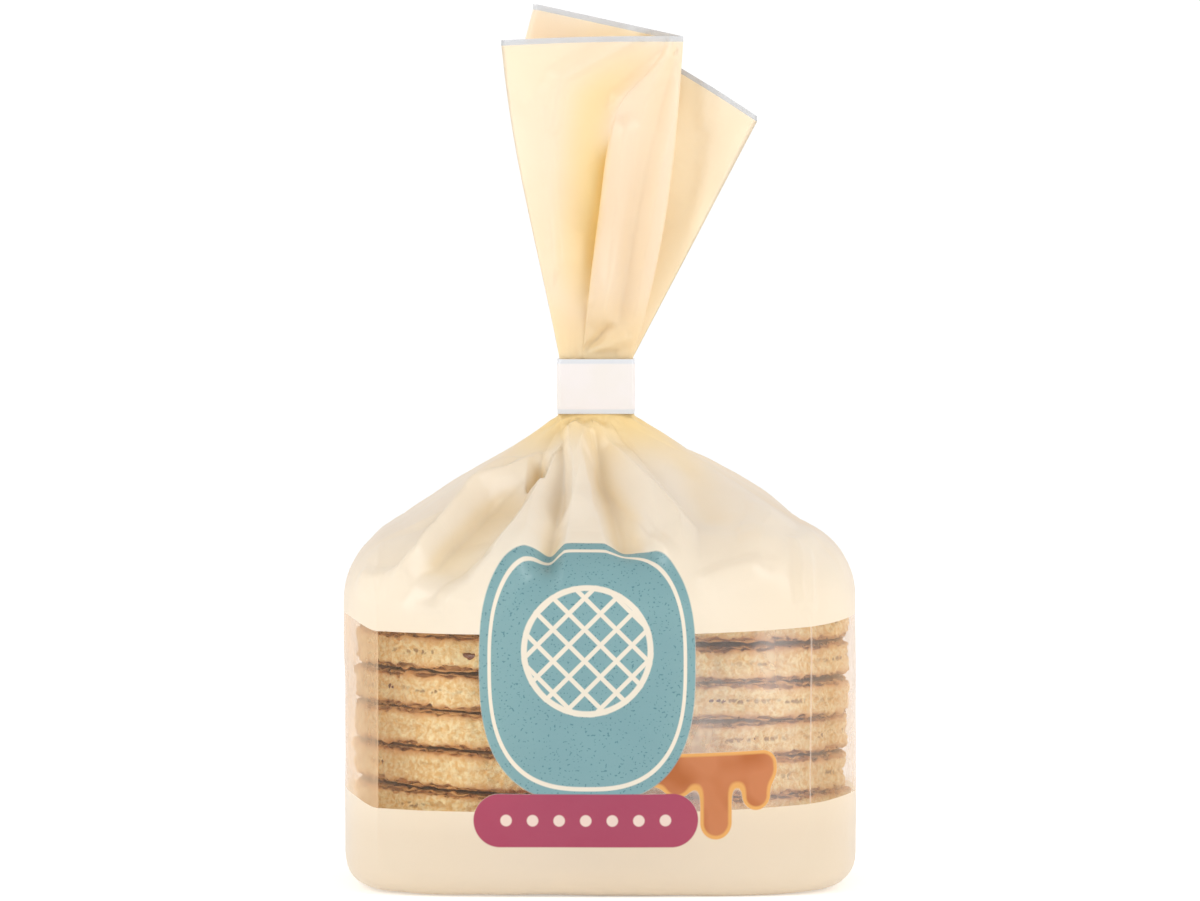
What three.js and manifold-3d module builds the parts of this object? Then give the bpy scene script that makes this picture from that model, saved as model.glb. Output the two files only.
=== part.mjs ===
// A film bag of round syrup waffles, standing on its flat base.
// The bag is one sealed solid: a squarish body round the stack, pleated shoulders, a gathered neck,
// and above the neck the bag's mouth, flattened and folded in a Z into three leaves that fan out.
// A band of the film is clear all round, and there the solid is the stack of waffles behind it.
// A flat plastic band holds the neck.
// Millimetres, +Z up, front towards -Y. The origin is the middle of the base.
import * as THREE from "three";
import { mergeVertices } from "three/addons/utils/BufferGeometryUtils.js";
import Module from "manifold-3d";

// Body of the bag
const BODY_WIDTH = 102.6;
const BODY_DEPTH = 94;
const BODY_SQUARENESS = 4.2; // exponent of the superellipse in plan; 2 would be round
const BASE_SHARE = 0.86; // part of the width and depth that lies flat on the table
const BASE_ROUND = 6.5; // height of the rounding above the base
const SHOULDER_START = 57; // height where the sides leave the upright
const SHOULDER_CORNER = 67.2; // height where side and slope would meet if the corner were sharp
const SLOPE_SHARE = 0.78; // part of the width where the straight slope begins
const SLOPE_START = 71.6;

// Window of clear film all round the body
const WINDOW_BOTTOM = 17.3;
const WINDOW_TOP = 52.2;

// Stack behind it. The waffles lie a little lower on the right, the lowest of them less so.
const WAFFLE_WIDTH = 97.2;
const WAFFLE_DEPTH = 92.2;
const STACK_SHIFT = 0.8;
const STACK_LEVELS = [13.2, 19.7, 27.6, 35.1, 42.6, 49.9, 57.8]; // where each waffle meets the next
const STACK_TILT = 1.4;
const LOWEST_TILT = 0.9;
const WAFFLE_GAP = 0.5;
const CORE_INSET = 3.6; // inside this the waffles lie flat on each other
const RIM_STEPS = 56;

// Rim of a waffle, as share of its thickness against how far it is drawn in: the crusts' edges are
// rounded, and a shallow groove at mid-height shows the syrup.
const RIM_PROFILE = [
  { up: 0, inset: 3 },
  { up: 0.07, inset: 0.9 },
  { up: 0.17, inset: 0 },
  { up: 0.5, inset: 0.6 },
  { up: 0.83, inset: 0 },
  { up: 0.93, inset: 0.9 },
  { up: 1, inset: 3 },
];

// Band round the neck
const BAND_WIDTH = 16.2;
const BAND_DEPTH = 6.6;
const BAND_WALL = 0.45;
const BAND_ROUND = 1.1;
const BAND_BOTTOM = 93.2;
const BAND_HEIGHT = 11;
const BAND_TOP = BAND_BOTTOM + BAND_HEIGHT;
const CLEARANCE = 0.3;

// Neck, as it fills the band; it stands a little to the left of the body's middle
const NECK_SHIFT = -0.9;
const NECK_WIDTH = BAND_WIDTH - 2 * (BAND_WALL + CLEARANCE);
const NECK_DEPTH = BAND_DEPTH - 2 * (BAND_WALL + CLEARANCE);
const NECK_SQUARENESS = 2.6;
const NECK_SHARE = NECK_WIDTH / BODY_WIDTH;
const NECK_FLATNESS = NECK_DEPTH / BODY_DEPTH / NECK_SHARE;
const THROAT_SHARE = BAND_WIDTH / BODY_WIDTH; // the film is as wide as the band just below it
const THROAT_STEP = 0.4;

// Steps of the body's mesh
const ROUND_STEPS = 64;
const CORNER_STEPS = 4;
const SLOPE_STEPS = 8;

// Folds of the shoulders. Angles are in degrees from the front, positive to the right: where the
// fold leaves the neck and where it dies out at the body. Spread is its half-width at the body in
// degrees, and rise how far it stands off the slope. The front's folds crowd to the left.
const SHOULDER_FOLDS = [
  { neck: -70, edge: -79, spread: 9, rise: 2.0 },
  { neck: -58, edge: -54, spread: 7, rise: 2.6 },
  { neck: -36, edge: -31, spread: 7, rise: 2.6 },
  { neck: -12, edge: -10, spread: 6, rise: 1.6 },
  { neck: 6, edge: 22, spread: 8, rise: 2.2 },
  { neck: 48, edge: 46, spread: 12, rise: 1.0 },
  { neck: 84, edge: 80, spread: 10, rise: 1.4 },
  { neck: 112, edge: 118, spread: 9, rise: 1.8 },
  { neck: 138, edge: 142, spread: 8, rise: 2.2 },
  { neck: 164, edge: 168, spread: 8, rise: 1.6 },
  { neck: 192, edge: 190, spread: 7, rise: 2.0 },
  { neck: 216, edge: 214, spread: 9, rise: 2.4 },
  { neck: 244, edge: 242, spread: 9, rise: 1.8 },
];
const SAG = 0.9; // how far the film sinks between folds
const SLOPE_OUT = 0.54; // the slope's normal, outward and upward
const SLOPE_UP = 0.84;

// Leaves of the mouth, front to back. Each is a ruled sheet from the neck to its top edge.
// first and last are the top corners, depth is where it leaves the neck, bow how far its
// middle stands forward, crown how far its top edge arches, and pleat how deep its inner fold is.
const FRONT_CORNER = new THREE.Vector3(-19.7, -7, 167.8);
const RIGHT_FOLD = new THREE.Vector3(16.3, -4, 168.6);
const LEFT_FOLD = new THREE.Vector3(-13.5, 1.5, 175.2);
const BACK_CORNER = new THREE.Vector3(31.3, 5, 152.6);
const LEAVES = [
  { first: FRONT_CORNER, last: RIGHT_FOLD, depth: -1.3, bow: 2.4, crown: 0.3, pleat: 2.2 },
  { first: LEFT_FOLD, last: RIGHT_FOLD, depth: 0, bow: 0, crown: 0, pleat: 0 },
  { first: LEFT_FOLD, last: BACK_CORNER, depth: 1.3, bow: -2, crown: 2.4, pleat: 0.8 },
];
const LEAF_THICKNESS = 1.5;
const LEAF_ROOT = BAND_BOTTOM + 4; // the leaves start inside the band
const LEAF_ROOT_WIDTH = NECK_WIDTH - 0.2;
const LEAF_BULGE = 1.4; // how far the side edges curve outward between neck and top
const LEAF_ACROSS = 16;
const LEAF_UP = 11;
const PLEAT_AT_NECK = 0.3; // where across the leaf the inner fold shows, at the neck and at the top
const PLEAT_AT_TOP = 0.62;

const FILM_COLOUR = 0xf3e3c8;
const BAND_COLOUR = 0xf4efec;

const wasm = await Module();
wasm.setup();

const lerp = THREE.MathUtils.lerp;
const degrees = THREE.MathUtils.radToDeg;

// A closed geometry as a solid that can be joined to another.
function solidFrom(geometry) {
  const bare = geometry.clone();
  bare.deleteAttribute("normal");
  bare.deleteAttribute("uv");
  const merged = mergeVertices(bare, 1e-3);
  return new wasm.Manifold(
    new wasm.Mesh({
      numProp: 3,
      vertProperties: merged.attributes.position.array,
      triVerts: new Uint32Array(merged.index.array),
    }),
  );
}

function geometryFrom(solid) {
  const mesh = solid.getMesh();
  const geometry = new THREE.BufferGeometry();
  geometry.setAttribute("position", new THREE.BufferAttribute(mesh.vertProperties, 3));
  geometry.setIndex(new THREE.BufferAttribute(mesh.triVerts, 1));
  geometry.computeVertexNormals();
  return geometry;
}

// Moves each vertex of a geometry by a function that changes the vector it is given.
function reshape(geometry, change) {
  const position = geometry.attributes.position;
  const point = new THREE.Vector3();
  for (let i = 0; i < position.count; i += 1) {
    change(point.fromBufferAttribute(position, i));
    position.setXYZ(i, point.x, point.y, point.z);
  }
  return geometry;
}

// Half of the bag's upright outline, as share of the body's half-width against height.
function bagProfile() {
  const points = [new THREE.Vector2(0, 0), new THREE.Vector2(BASE_SHARE / 2, 0)];
  const base = new THREE.QuadraticBezierCurve(
    new THREE.Vector2(BASE_SHARE, 0),
    new THREE.Vector2(1, 0),
    new THREE.Vector2(1, BASE_ROUND),
  );
  const side = new THREE.LineCurve(
    new THREE.Vector2(1, BASE_ROUND),
    new THREE.Vector2(1, SHOULDER_START),
  );
  const corner = new THREE.QuadraticBezierCurve(
    new THREE.Vector2(1, SHOULDER_START),
    new THREE.Vector2(1, SHOULDER_CORNER),
    new THREE.Vector2(SLOPE_SHARE, SLOPE_START),
  );
  const slope = new THREE.LineCurve(
    new THREE.Vector2(SLOPE_SHARE, SLOPE_START),
    new THREE.Vector2(THROAT_SHARE, BAND_BOTTOM - THROAT_STEP),
  );
  points.push(...base.getPoints(CORNER_STEPS));
  points.push(...side.getPoints(2).slice(1));
  points.push(...corner.getPoints(CORNER_STEPS).slice(1));
  points.push(...slope.getPoints(SLOPE_STEPS).slice(1));
  points.push(new THREE.Vector2(NECK_SHARE, BAND_BOTTOM));
  points.push(new THREE.Vector2(NECK_SHARE, BAND_TOP - THROAT_STEP));
  points.push(new THREE.Vector2(0, BAND_TOP - THROAT_STEP));
  return points;
}

// How far the film stands off its smooth slope: ridges that run from the neck to the body.
function foldRise(angle, share) {
  const along = (share - THROAT_SHARE) / (1 - THROAT_SHARE);
  if (along <= 0 || along >= 1) return 0;
  let rise = -SAG;
  for (const fold of SHOULDER_FOLDS) {
    const middle = lerp(fold.neck, fold.edge, along);
    const apart = ((((angle - middle) % 360) + 540) % 360) - 180;
    rise += (fold.rise + SAG) * Math.exp(-((apart / fold.spread) ** 2));
  }
  return rise * Math.sin(Math.PI * along ** 0.8);
}

// Body, shoulders and neck: a turned shape, squared in plan, flattened at the neck, and pleated.
function bodyGeometry() {
  const turned = new THREE.LatheGeometry(bagProfile(), ROUND_STEPS);
  turned.rotateX(Math.PI / 2);
  return reshape(turned, (point) => {
    const share = Math.hypot(point.x, point.y);
    if (share < 1e-6) {
      point.x = point.z > SHOULDER_CORNER ? NECK_SHIFT : 0;
      return;
    }
    const sine = point.x / share;
    const cosine = -point.y / share;
    const raised = point.z > SHOULDER_START;
    const open = raised ? THREE.MathUtils.smoothstep(share, NECK_SHARE, SLOPE_SHARE) : 1;
    const power = lerp(NECK_SQUARENESS, BODY_SQUARENESS, open);
    const stretch = (Math.abs(sine) ** power + Math.abs(cosine) ** power) ** (-1 / power);
    const rise = raised ? foldRise(degrees(Math.atan2(sine, cosine)), share) : 0;
    const reach = share * stretch;
    point.x = sine * ((reach * BODY_WIDTH) / 2 + rise * SLOPE_OUT);
    point.x += raised ? NECK_SHIFT * (1 - open) : 0;
    point.y = -cosine * (((reach * BODY_DEPTH) / 2) * lerp(NECK_FLATNESS, 1, open) + rise * SLOPE_OUT);
    point.z += rise * SLOPE_UP;
  });
}

// A solid turned round an upright axis, as oval in plan as the waffles.
function turnedOval(profile) {
  const turned = new THREE.LatheGeometry(profile, RIM_STEPS);
  turned.rotateX(Math.PI / 2);
  return turned.scale(1, WAFFLE_DEPTH / WAFFLE_WIDTH, 1);
}

// The waffles that show in the window, grown together inside their rims.
function makeStack() {
  const foot = STACK_LEVELS[0];
  const tall = STACK_LEVELS[STACK_LEVELS.length - 1] - foot;
  const coreRadius = WAFFLE_WIDTH / 2 - CORE_INSET;
  const core = turnedOval([
    new THREE.Vector2(0, 0),
    new THREE.Vector2(coreRadius, 0),
    new THREE.Vector2(coreRadius, tall),
    new THREE.Vector2(0, tall),
  ]);
  let stack = solidFrom(core.translate(STACK_SHIFT, 0, foot));
  for (let number = 0; number < STACK_LEVELS.length - 1; number += 1) {
    const low = STACK_LEVELS[number] + WAFFLE_GAP / 2;
    const thickness = STACK_LEVELS[number + 1] - WAFFLE_GAP / 2 - low;
    const rim = RIM_PROFILE.map(
      (place) => new THREE.Vector2(WAFFLE_WIDTH / 2 - place.inset, place.up * thickness),
    );
    const waffle = turnedOval([new THREE.Vector2(0, 0), ...rim, new THREE.Vector2(0, thickness)]);
    waffle.rotateY(THREE.MathUtils.degToRad(number === 0 ? LOWEST_TILT : STACK_TILT));
    stack = stack.add(solidFrom(waffle.translate(STACK_SHIFT, 0, low)));
  }
  return stack;
}

// The slice of the body that the clear film leaves open to view.
function windowSlice() {
  const tall = WINDOW_TOP - WINDOW_BOTTOM;
  const slice = new THREE.BoxGeometry(BODY_WIDTH * 1.1, BODY_DEPTH * 1.1, tall);
  return solidFrom(slice.translate(0, 0, WINDOW_BOTTOM + tall / 2));
}

// One leaf of the mouth: a flat box bent onto the sheet between the neck and the top corners.
// Its lowest step stays inside the band. The inner fold brings the part right of it forward,
// so that it overlaps the part left of it.
function leafGeometry(leaf) {
  const box = new THREE.BoxGeometry(1, 1, 1, LEAF_ACROSS, 1, LEAF_UP);
  const held = 1 / LEAF_UP;
  return reshape(box, (point) => {
    const across = point.x + 0.5;
    const up = Math.max(0, (point.z + 0.5 - held) / (1 - held));
    const pleatAt = lerp(PLEAT_AT_NECK, PLEAT_AT_TOP, up);
    const beside = across < pleatAt ? across / pleatAt : (across - 1) / (1 - pleatAt);
    const fold = leaf.pleat * beside * Math.sin(Math.PI * up ** 0.6);
    const bow = leaf.bow * Math.sin(Math.PI * across) * up;
    const topX = lerp(leaf.first.x, leaf.last.x, across);
    const topY = lerp(leaf.first.y, leaf.last.y, across);
    const topZ = lerp(leaf.first.z, leaf.last.z, across) + leaf.crown * Math.sin(Math.PI * across);
    const side = point.y * LEAF_THICKNESS;
    point.z = point.z < held - 0.5 - 1e-6 ? LEAF_ROOT : lerp(BAND_TOP, topZ, up);
    point.x = lerp(NECK_SHIFT + ((across * 2 - 1) * LEAF_ROOT_WIDTH) / 2, topX, up);
    point.x += (across * 2 - 1) * LEAF_BULGE * Math.sin(Math.PI * up ** 0.7);
    point.y = lerp(leaf.depth, topY, up) + side + fold - bow;
  });
}

function makeBag() {
  let bag = solidFrom(bodyGeometry()).subtract(windowSlice()).add(makeStack());
  for (const leaf of LEAVES) bag = bag.add(solidFrom(leafGeometry(leaf)));
  const material = new THREE.MeshStandardMaterial({
    color: FILM_COLOUR,
    roughness: 0.35,
    metalness: 0,
  });
  const mesh = new THREE.Mesh(geometryFrom(bag), material);
  mesh.name = "bag";
  return mesh;
}

function roundedRectangle(width, depth, radius) {
  const shape = new THREE.Path();
  const x = width / 2 - radius;
  const y = depth / 2 - radius;
  shape.absarc(x, y, radius, 0, Math.PI / 2, false);
  shape.absarc(-x, y, radius, Math.PI / 2, Math.PI, false);
  shape.absarc(-x, -y, radius, Math.PI, 1.5 * Math.PI, false);
  shape.absarc(x, -y, radius, 1.5 * Math.PI, 2 * Math.PI, false);
  return shape;
}

// The flat band: a short rounded-rectangular sleeve.
function makeBand() {
  const outline = new THREE.Shape(
    roundedRectangle(BAND_WIDTH, BAND_DEPTH, BAND_ROUND).getPoints(6),
  );
  outline.holes.push(
    roundedRectangle(
      BAND_WIDTH - 2 * BAND_WALL,
      BAND_DEPTH - 2 * BAND_WALL,
      BAND_ROUND - BAND_WALL,
    ),
  );
  const geometry = new THREE.ExtrudeGeometry(outline, {
    depth: BAND_HEIGHT,
    bevelEnabled: false,
    curveSegments: 6,
  });
  const material = new THREE.MeshStandardMaterial({
    color: BAND_COLOUR,
    roughness: 0.4,
    metalness: 0,
  });
  const mesh = new THREE.Mesh(geometry, material);
  mesh.name = "neck_band";
  mesh.position.set(NECK_SHIFT, 0, BAND_BOTTOM);
  return mesh;
}

const pack = new THREE.Group();
pack.add(makeBag());
pack.add(makeBand());

export default pack;
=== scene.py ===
# A film bag of stroopwafels: printed film with a clear window band, the waffles behind it, the
# folded mouth of the bag and the flat band that holds its neck. Lengths are in millimetres where a
# name or comment says so, and in metres everywhere else.
import math

import bmesh
import bpy
import numpy as np
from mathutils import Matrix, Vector


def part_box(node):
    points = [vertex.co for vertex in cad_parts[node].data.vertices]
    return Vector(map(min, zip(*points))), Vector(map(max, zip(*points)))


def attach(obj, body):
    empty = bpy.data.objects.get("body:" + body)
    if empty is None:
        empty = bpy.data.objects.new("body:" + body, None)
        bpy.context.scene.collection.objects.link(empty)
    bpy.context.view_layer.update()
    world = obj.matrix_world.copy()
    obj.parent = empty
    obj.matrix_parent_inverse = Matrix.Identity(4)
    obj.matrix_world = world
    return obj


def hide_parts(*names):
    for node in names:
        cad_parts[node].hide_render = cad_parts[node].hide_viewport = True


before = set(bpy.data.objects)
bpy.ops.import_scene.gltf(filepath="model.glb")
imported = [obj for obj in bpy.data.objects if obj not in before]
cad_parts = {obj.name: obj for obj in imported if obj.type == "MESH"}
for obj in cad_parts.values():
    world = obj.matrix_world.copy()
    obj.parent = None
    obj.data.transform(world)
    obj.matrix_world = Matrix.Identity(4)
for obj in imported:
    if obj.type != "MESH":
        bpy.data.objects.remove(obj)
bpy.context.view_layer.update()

MM = 0.001
SEED = 7

# The solids that carry the looks, in millimetres.
bag_low, bag_high = (np.array(corner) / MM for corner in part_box("bag"))
band_low, band_high = (np.array(corner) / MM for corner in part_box("neck_band"))
BODY_WIDTH = bag_high[0] - bag_low[0]
BODY_DEPTH = bag_high[1] - bag_low[1]
BAND_BOTTOM, BAND_TOP = band_low[2], band_high[2]
BAND_WIDTH = band_high[0] - band_low[0]
BAND_DEPTH = band_high[1] - band_low[1]
NECK_X = (band_low[0] + band_high[0]) / 2

# The bag's outline, as shares of its half-width against height in millimetres.
BODY_SQUARENESS = 4.2
NECK_SQUARENESS = 2.6
BASE_SHARE, BASE_ROUND = 0.86, 6.5
SHOULDER_START, SHOULDER_CORNER = 57.0, 67.2
SLOPE_SHARE, SLOPE_START = 0.78, 71.6
NECK_SLACK = 1.5  # the band's walls and the room inside them, on both sides together
NECK_WIDTH, NECK_DEPTH = BAND_WIDTH - NECK_SLACK, BAND_DEPTH - NECK_SLACK
NECK_SHARE = NECK_WIDTH / BODY_WIDTH
THROAT_SHARE = BAND_WIDTH / BODY_WIDTH
FILM_INSET = 0.25  # the film lies this far inside the solid's outline

# Lower and upper edge of the clear window, in millimetres up along the film.
WINDOW_BOTTOM, WINDOW_TOP = 16.8, 51.6

# Upright creases at the corners of the front panel, in millimetres to the right of the middle.
LEFT_CREASE, RIGHT_CREASE = -43.6, 41.2
FRONT_HALF = 43  # about half the front panel's width

# Picture and camera, in pixels and metres.
PICTURE_WIDTH = 1200
PIXELS_PER_MM = 5.0
CAMERA_DISTANCE = 2.0
CAMERA_ELEVATION = math.radians(2.4)
CAMERA_AIM = Vector((-0.0001, 0.0, 0.0858))


# Small helpers for modelling


def deselect():
    bpy.ops.object.select_all(action="DESELECT")


def hold(piece):
    """Makes piece the only selected and the active object."""
    deselect()
    piece.select_set(True)
    bpy.context.view_layer.objects.active = piece


def points_of(piece):
    found = np.zeros(len(piece.data.vertices) * 3)
    piece.data.vertices.foreach_get("co", found)
    return found.reshape(-1, 3)


def place_points(piece, points):
    piece.data.vertices.foreach_set("co", np.asarray(points, dtype=np.float32).ravel())
    piece.data.update()


def keep_values(piece, name, values):
    """Stores a number for each vertex under a name that a material can read."""
    kept = piece.data.attributes.new(name, "FLOAT", "POINT")
    kept.data.foreach_set("value", np.asarray(values, dtype=np.float32))


def keep_places(piece, name, places):
    kept = piece.data.attributes.new(name, "FLOAT_VECTOR", "POINT")
    kept.data.foreach_set("vector", np.asarray(places, dtype=np.float32).ravel())


def apply_modifiers(piece):
    hold(piece)
    for modifier in list(piece.modifiers):
        bpy.ops.object.modifier_apply(modifier=modifier.name)


SOLID_MERGE, FILM_MERGE = 1e-7, 2e-6  # vertices closer than this become one, in metres


def close_seams(piece, gap=SOLID_MERGE):
    """Merges vertices that lie on each other and points all faces outwards."""
    hold(piece)
    bpy.ops.object.mode_set(mode="EDIT")
    bpy.ops.mesh.select_all(action="SELECT")
    bpy.ops.mesh.remove_doubles(threshold=gap)
    bpy.ops.mesh.normals_make_consistent(inside=False)
    bpy.ops.mesh.select_all(action="DESELECT")
    bpy.ops.object.mode_set(mode="OBJECT")


def smooth(piece):
    hold(piece)
    bpy.ops.object.shade_smooth()


def new_sheet(name, columns, rows):
    """A flat sheet of columns by rows faces, with each vertex's place across and up it, 0 to 1."""
    deselect()
    bpy.ops.mesh.primitive_grid_add(x_subdivisions=columns, y_subdivisions=rows, size=1)
    piece = bpy.context.active_object
    piece.name = piece.data.name = name
    flat = points_of(piece)
    return piece, flat[:, 0] + 0.5, flat[:, 1] + 0.5


def roughen(piece, kind, size, strength, group="", offset=0.0, depth=2, level=0.5, axis="NORMAL"):
    """Moves a piece's vertices in and out by a cloudy, grainy or cellular pattern, whose size and
    strength are in mm. level is the pattern's value that moves nothing."""
    texture = bpy.data.textures.new(piece.name + "_" + kind.lower(), kind)
    texture.noise_scale = size * MM
    if kind == "CLOUDS":
        texture.noise_depth = depth
    if kind == "VORONOI":
        texture.weight_1, texture.weight_2 = -1.0, 1.0
    shifted = bpy.data.objects.new(piece.name + "_origin", None)
    shifted.location = (offset, offset * 0.7, -offset * 1.3)
    bpy.context.scene.collection.objects.link(shifted)
    bpy.context.view_layer.update()
    modifier = piece.modifiers.new("rough", "DISPLACE")
    modifier.texture = texture
    modifier.texture_coords = "OBJECT"
    modifier.texture_coords_object = shifted
    modifier.direction = axis
    modifier.mid_level = level
    modifier.strength = strength * MM
    modifier.vertex_group = group
    apply_modifiers(piece)
    bpy.data.objects.remove(shifted)


def smoothstep(value, low, high):
    share = np.clip((value - low) / (high - low), 0.0, 1.0)
    return share * share * (3.0 - 2.0 * share)


def mix(start, end, share):
    return start + (end - start) * share


# Film body


def bezier(start, control, end, count):
    t = np.linspace(0.0, 1.0, count)[:, None]
    start, control, end = map(np.array, (start, control, end))
    return (1 - t) ** 2 * start + 2 * t * (1 - t) * control + t**2 * end


def straight(start, end, count):
    return mix(np.array(start, float), np.array(end, float), np.linspace(0, 1, count)[:, None])


def upright_outline():
    """Share of the half-width against height, from the middle of the base to inside the band."""
    slope_end = (THROAT_SHARE - 0.004, BAND_BOTTOM - 0.3)
    neck_end = (NECK_SHARE * 0.97, BAND_BOTTOM + 5.0)
    stretches = [
        straight((0.0, 0.0), (BASE_SHARE, 0.0), 9),
        bezier((BASE_SHARE, 0.0), (1.0, 0.0), (1.0, BASE_ROUND), 10),
        straight((1.0, BASE_ROUND), (1.0, WINDOW_BOTTOM), 7),
        straight((1.0, WINDOW_BOTTOM), (1.0, WINDOW_TOP), 16),
        straight((1.0, WINDOW_TOP), (1.0, SHOULDER_START), 6),
        bezier((1.0, SHOULDER_START), (1.0, SHOULDER_CORNER), (SLOPE_SHARE, SLOPE_START), 26),
        straight((SLOPE_SHARE, SLOPE_START), slope_end, 76),
        straight(slope_end, neck_end, 5),
    ]
    return np.vstack([stretches[0]] + [stretch[1:] for stretch in stretches[1:]])


OUTLINE = upright_outline()
AROUND = 600  # faces round the film body
FRONT_CLOSER = 0.35  # how much closer together they are at the front than at the back
NO_LENGTH = 1e-9  # keeps a division from failing where two points meet


def body_point(angle, share, height):
    """The smooth bag's surface, in mm. angle is in radians from the front, positive to the right."""
    raised = smoothstep(height, SHOULDER_START, SHOULDER_START + 4)
    opened = smoothstep(share, NECK_SHARE, SLOPE_SHARE)
    opened = np.where(height > SHOULDER_START, opened, 1.0)
    power = mix(NECK_SQUARENESS, BODY_SQUARENESS, opened)
    sine, cosine = np.sin(angle), np.cos(angle)
    reach = (np.abs(sine) ** power + np.abs(cosine) ** power) ** (-1.0 / power) * share
    flatness = NECK_DEPTH / BODY_DEPTH / NECK_SHARE
    x = sine * reach * (BODY_WIDTH / 2 - FILM_INSET) + NECK_X * (1 - opened) * raised
    y = -cosine * reach * (BODY_DEPTH / 2 - FILM_INSET) * mix(flatness, 1.0, opened)
    return x, y, height + 0.0 * x


def along_slope(share):
    """0 at the neck, 1 at the bag's upright side."""
    return (share - THROAT_SHARE) / (1 - THROAT_SHARE)


def height_at(shares):
    """Height of the shoulder for a share of the half-width."""
    start = int(np.argmax(OUTLINE[:, 1] >= SHOULDER_START))
    rows = OUTLINE[start:]
    order = np.argsort(rows[:, 0], kind="stable")
    return np.interp(shares, rows[order, 0], rows[order, 1])


# Folds of the film. line runs down from the fold's upper end, in pairs: degrees from the front, and
# the place down the slope, which is 0 at the neck, 1 at the side, and 0.01 more for each mm below
# that. rise is in mm off the smooth slope, and below zero for a hollow. left and right are how far
# the fold reaches to each side of its line, in mm, as seen from outside with the line running down.
# crisp is 1 for a creased edge and 0 for a round one.
FOLD_STRENGTH = 1.2  # share of rise by which a fold stands out
FOLD_SAMPLES = 40  # points along each line
FRONT_FOLDS = [
    # Strip and fine line above the cone, on the left
    dict(
        line=[(-39.5, 0.30), (-52, 0.32), (-68, 0.37), (-92, 0.46)],
        rise=1.2, left=2, right=4, crisp=1,
    ),
    dict(
        line=[(-45.5, 0.36), (-44.5, 0.53), (-47, 0.65), (-56.5, 0.77), (-65, 0.91)],
        rise=0.9, left=2.6, right=3, crisp=1,
    ),
    # Left edge, foot, hollow and right edge of the cone
    dict(
        line=[(-33, 0.28), (-40, 0.42), (-44, 0.49), (-43, 0.60), (-42, 0.73), (-39.5, 0.90),
              (-41, 0.97), (-43.5, 1.01)],
        rise=2.6, left=2.4, right=3.6, crisp=1,
    ),
    dict(line=[(-41, 0.965), (-47, 0.98), (-56, 0.97)], rise=1.2, left=2.5, right=5, crisp=0.9),
    dict(
        line=[(-31, 0.42), (-38.5, 0.55), (-38, 0.73), (-36, 0.90), (-38.5, 1.0)],
        rise=-3.2, left=3.6, right=14, crisp=0.6,
    ),
    dict(
        line=[(-22, 0.15), (-21.5, 0.36), (-23, 0.51), (-23.5, 0.82), (-24, 0.92), (-27, 0.98),
              (-33, 1.01), (-40, 1.02)],
        rise=2.9, left=3.2, right=9, crisp=1,
    ),
    # Pocket at the cone's tip
    dict(line=[(-30, 0.30), (-27.5, 0.38), (-25.5, 0.46)], rise=-3.4, left=1.7, right=2.4, crisp=0.6),
    # Narrow fold left of the middle, with the hollow beside it
    dict(
        line=[(-28, 0.07), (-16.5, 0.205), (-12, 0.36), (-10.5, 0.52), (-9.5, 0.59), (-11.5, 0.68)],
        rise=2.7, left=1.7, right=5.5, crisp=1,
    ),
    dict(line=[(-20, 0.08), (-12.5, 0.16), (-7.5, 0.29)], rise=0.9, left=1.6, right=2.2, crisp=1),
    dict(
        line=[(-15, 0.34), (-14, 0.55), (-14, 0.70), (-12, 0.92), (-11.5, 1.0)],
        rise=-2.7, left=4.5, right=2.6, crisp=0.4,
    ),
    # Hollow and crest of the long fold right of the middle
    dict(
        line=[(-2, 0.12), (1.5, 0.24), (5, 0.48), (6.5, 0.78), (6, 0.95)],
        rise=-2.8, left=3.6, right=7, crisp=0.5,
    ),
    dict(
        line=[(-8, 0.01), (3.5, 0.106), (13, 0.26), (17.5, 0.41), (21.5, 0.62), (22, 0.71),
              (19.5, 0.86), (18.5, 0.97)],
        rise=2.9, left=6.5, right=3.6, crisp=1,
    ),
    dict(line=[(11, 0.62), (13.5, 0.84), (17.5, 0.97)], rise=1.0, left=2.4, right=2.4, crisp=1),
    # Dent on the right, with its edge and foot
    dict(line=[(56, 0.23), (36.5, 0.48), (29.5, 0.76)], rise=-1.4, left=6, right=9, crisp=0.3),
    dict(line=[(62, 0.56), (41, 0.74), (33.5, 0.94)], rise=1.5, left=5, right=8, crisp=1),
    dict(line=[(35, 0.93), (26.5, 0.96), (20, 0.99)], rise=1.0, left=2.2, right=5, crisp=0.9),
    # Crease and facet at the right corner
    dict(
        line=[(74, 0.72), (45.5, 0.856), (40.5, 0.99), (41, 1.03)],
        rise=1.0, left=2, right=4, crisp=1,
    ),
    dict(line=[(84, 0.79), (61, 0.884), (62, 0.98)], rise=1.2, left=6, right=3, crisp=1),
]

OUTWARD_RISE = 30.0  # upward part, in mm, of the direction that tells left from right of a line

# Folds of the sides and the back: they spread from the neck, each a little different.
BACK_FOLD_ANGLES = (86, 104, 121, 137, 152, 168, 183, 199, 214, 231, 247, 264)


def back_folds():
    chance = np.random.default_rng(SEED)
    folds = []
    for number, angle in enumerate(BACK_FOLD_ANGLES):
        lean = chance.uniform(-8, 8)
        reach = chance.uniform(0.70, 1.0)
        crest = number % 2 == 0
        folds.append(
            dict(
                line=[(angle, 0.06), (angle + lean * 0.4, reach * 0.5), (angle + lean, reach)],
                rise=chance.uniform(1.5, 2.7) if crest else -chance.uniform(1.5, 2.7),
                left=chance.uniform(3, 9),
                right=chance.uniform(3, 9),
                crisp=chance.uniform(0.6, 0.95) if crest else 0.25,
            )
        )
    return folds


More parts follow.
